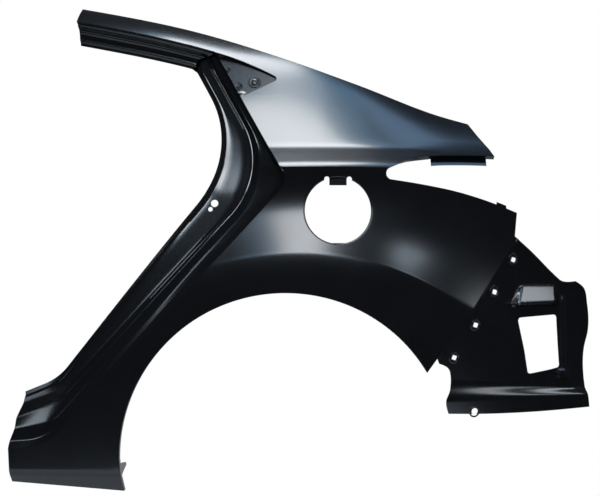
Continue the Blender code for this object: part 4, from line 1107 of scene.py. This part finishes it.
def softbox(name, place, target, width, height, radiance, colour):
    """Rectangular area light at a place, facing a target, of a given radiance."""
    lamp = bpy.data.lights.new(name, "AREA")
    lamp.shape = "RECTANGLE"
    lamp.size = width
    lamp.size_y = height
    lamp.energy = radiance * width * height * math.pi
    lamp.color = colour
    box = add(name, lamp)
    box.location = place
    box.rotation_euler = (Vector(target) - Vector(place)).to_track_quat("-Z", "Y").to_euler()


def studio():
    """Pale floor, room that is white behind the panel and dim elsewhere, and softboxes."""
    world = bpy.data.worlds.new("studio")
    bpy.context.scene.world = world
    world.use_nodes = True
    tree = world.node_tree
    tree.nodes.clear()
    white = node(tree, "ShaderNodeBackground", Color=(1, 1, 1, 1), Strength=1.0)
    dim = node(tree, "ShaderNodeBackground", Color=(0.75, 0.85, 1.0, 1), Strength=ROOM)
    ray = tree.nodes.new("ShaderNodeLightPath").outputs
    axes = node(tree, "ShaderNodeSeparateXYZ", tree.nodes.new("ShaderNodeTexCoord").outputs["Generated"])
    behind = node(tree, "ShaderNodeMapRange", axes.outputs["Y"], From_Min=0.70, From_Max=1.00, To_Max=0.35)
    behind.interpolation_type = "SMOOTHSTEP"
    mirrored = reckon(tree, "MAXIMUM", ray["Is Glossy Ray"], ray["Is Transmission Ray"])
    backed = reckon(tree, "MULTIPLY", mirrored, behind.outputs["Result"])
    seen = reckon(tree, "MAXIMUM", backed, ray["Is Camera Ray"])
    mix = node(tree, "ShaderNodeMixShader", seen, dim.outputs["Background"], white.outputs["Background"])
    node(tree, "ShaderNodeOutputWorld", mix.outputs["Shader"])

    mesh = bpy.data.meshes.new("floor")
    mesh.from_pydata([(x, y, FLOOR_Z) for x, y in FLOOR_CORNERS], [], [(0, 1, 2, 3)])
    floor = add("floor", mesh)
    pale = bpy.data.materials.new("pale_floor")
    pale.use_nodes = True
    tree = pale.node_tree
    tree.nodes.clear()
    diffuse = node(tree, "ShaderNodeBsdfDiffuse", Color=(0.75, 0.75, 0.75, 1)).outputs["BSDF"]
    glow = node(tree, "ShaderNodeEmission", Color=(1, 1, 1, 1), Strength=0.8).outputs["Emission"]
    both = node(tree, "ShaderNodeAddShader", diffuse, glow).outputs["Shader"]
    ray = tree.nodes.new("ShaderNodeLightPath").outputs
    mix = node(tree, "ShaderNodeMixShader", ray["Is Camera Ray"], diffuse, both)
    node(tree, "ShaderNodeOutputMaterial", mix.outputs["Shader"])
    mesh.materials.append(pale)

    for values in SOFTBOXES:
        softbox(*values)


def camera():
    """Level, square to the panel's side, framed as the photograph."""
    lens = bpy.data.cameras.new("camera")
    lens.sensor_width = SENSOR_WIDTH
    lens.lens = SENSOR_WIDTH * CAMERA_DISTANCE / FRAME_WIDTH
    eye = add("camera", lens)
    eye.location = (CAMERA_X, -CAMERA_DISTANCE, CAMERA_Z)
    eye.rotation_euler = (math.radians(90), 0, 0)
    bpy.context.scene.camera = eye


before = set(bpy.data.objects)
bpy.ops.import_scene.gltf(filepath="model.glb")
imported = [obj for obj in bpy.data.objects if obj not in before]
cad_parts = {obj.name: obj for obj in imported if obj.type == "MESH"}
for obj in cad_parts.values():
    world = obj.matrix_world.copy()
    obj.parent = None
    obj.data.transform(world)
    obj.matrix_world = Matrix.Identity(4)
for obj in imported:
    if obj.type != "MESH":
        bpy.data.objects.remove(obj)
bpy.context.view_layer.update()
primer = black_primer()
tail_wall, notch_flange = quarter_panel(primer)
rear_extension(primer)
lamp_bracket(tail_wall, primer)
corner_tab(notch_flange, primer)
studio()
camera()
bpy.context.scene.view_settings.view_transform = "Standard"
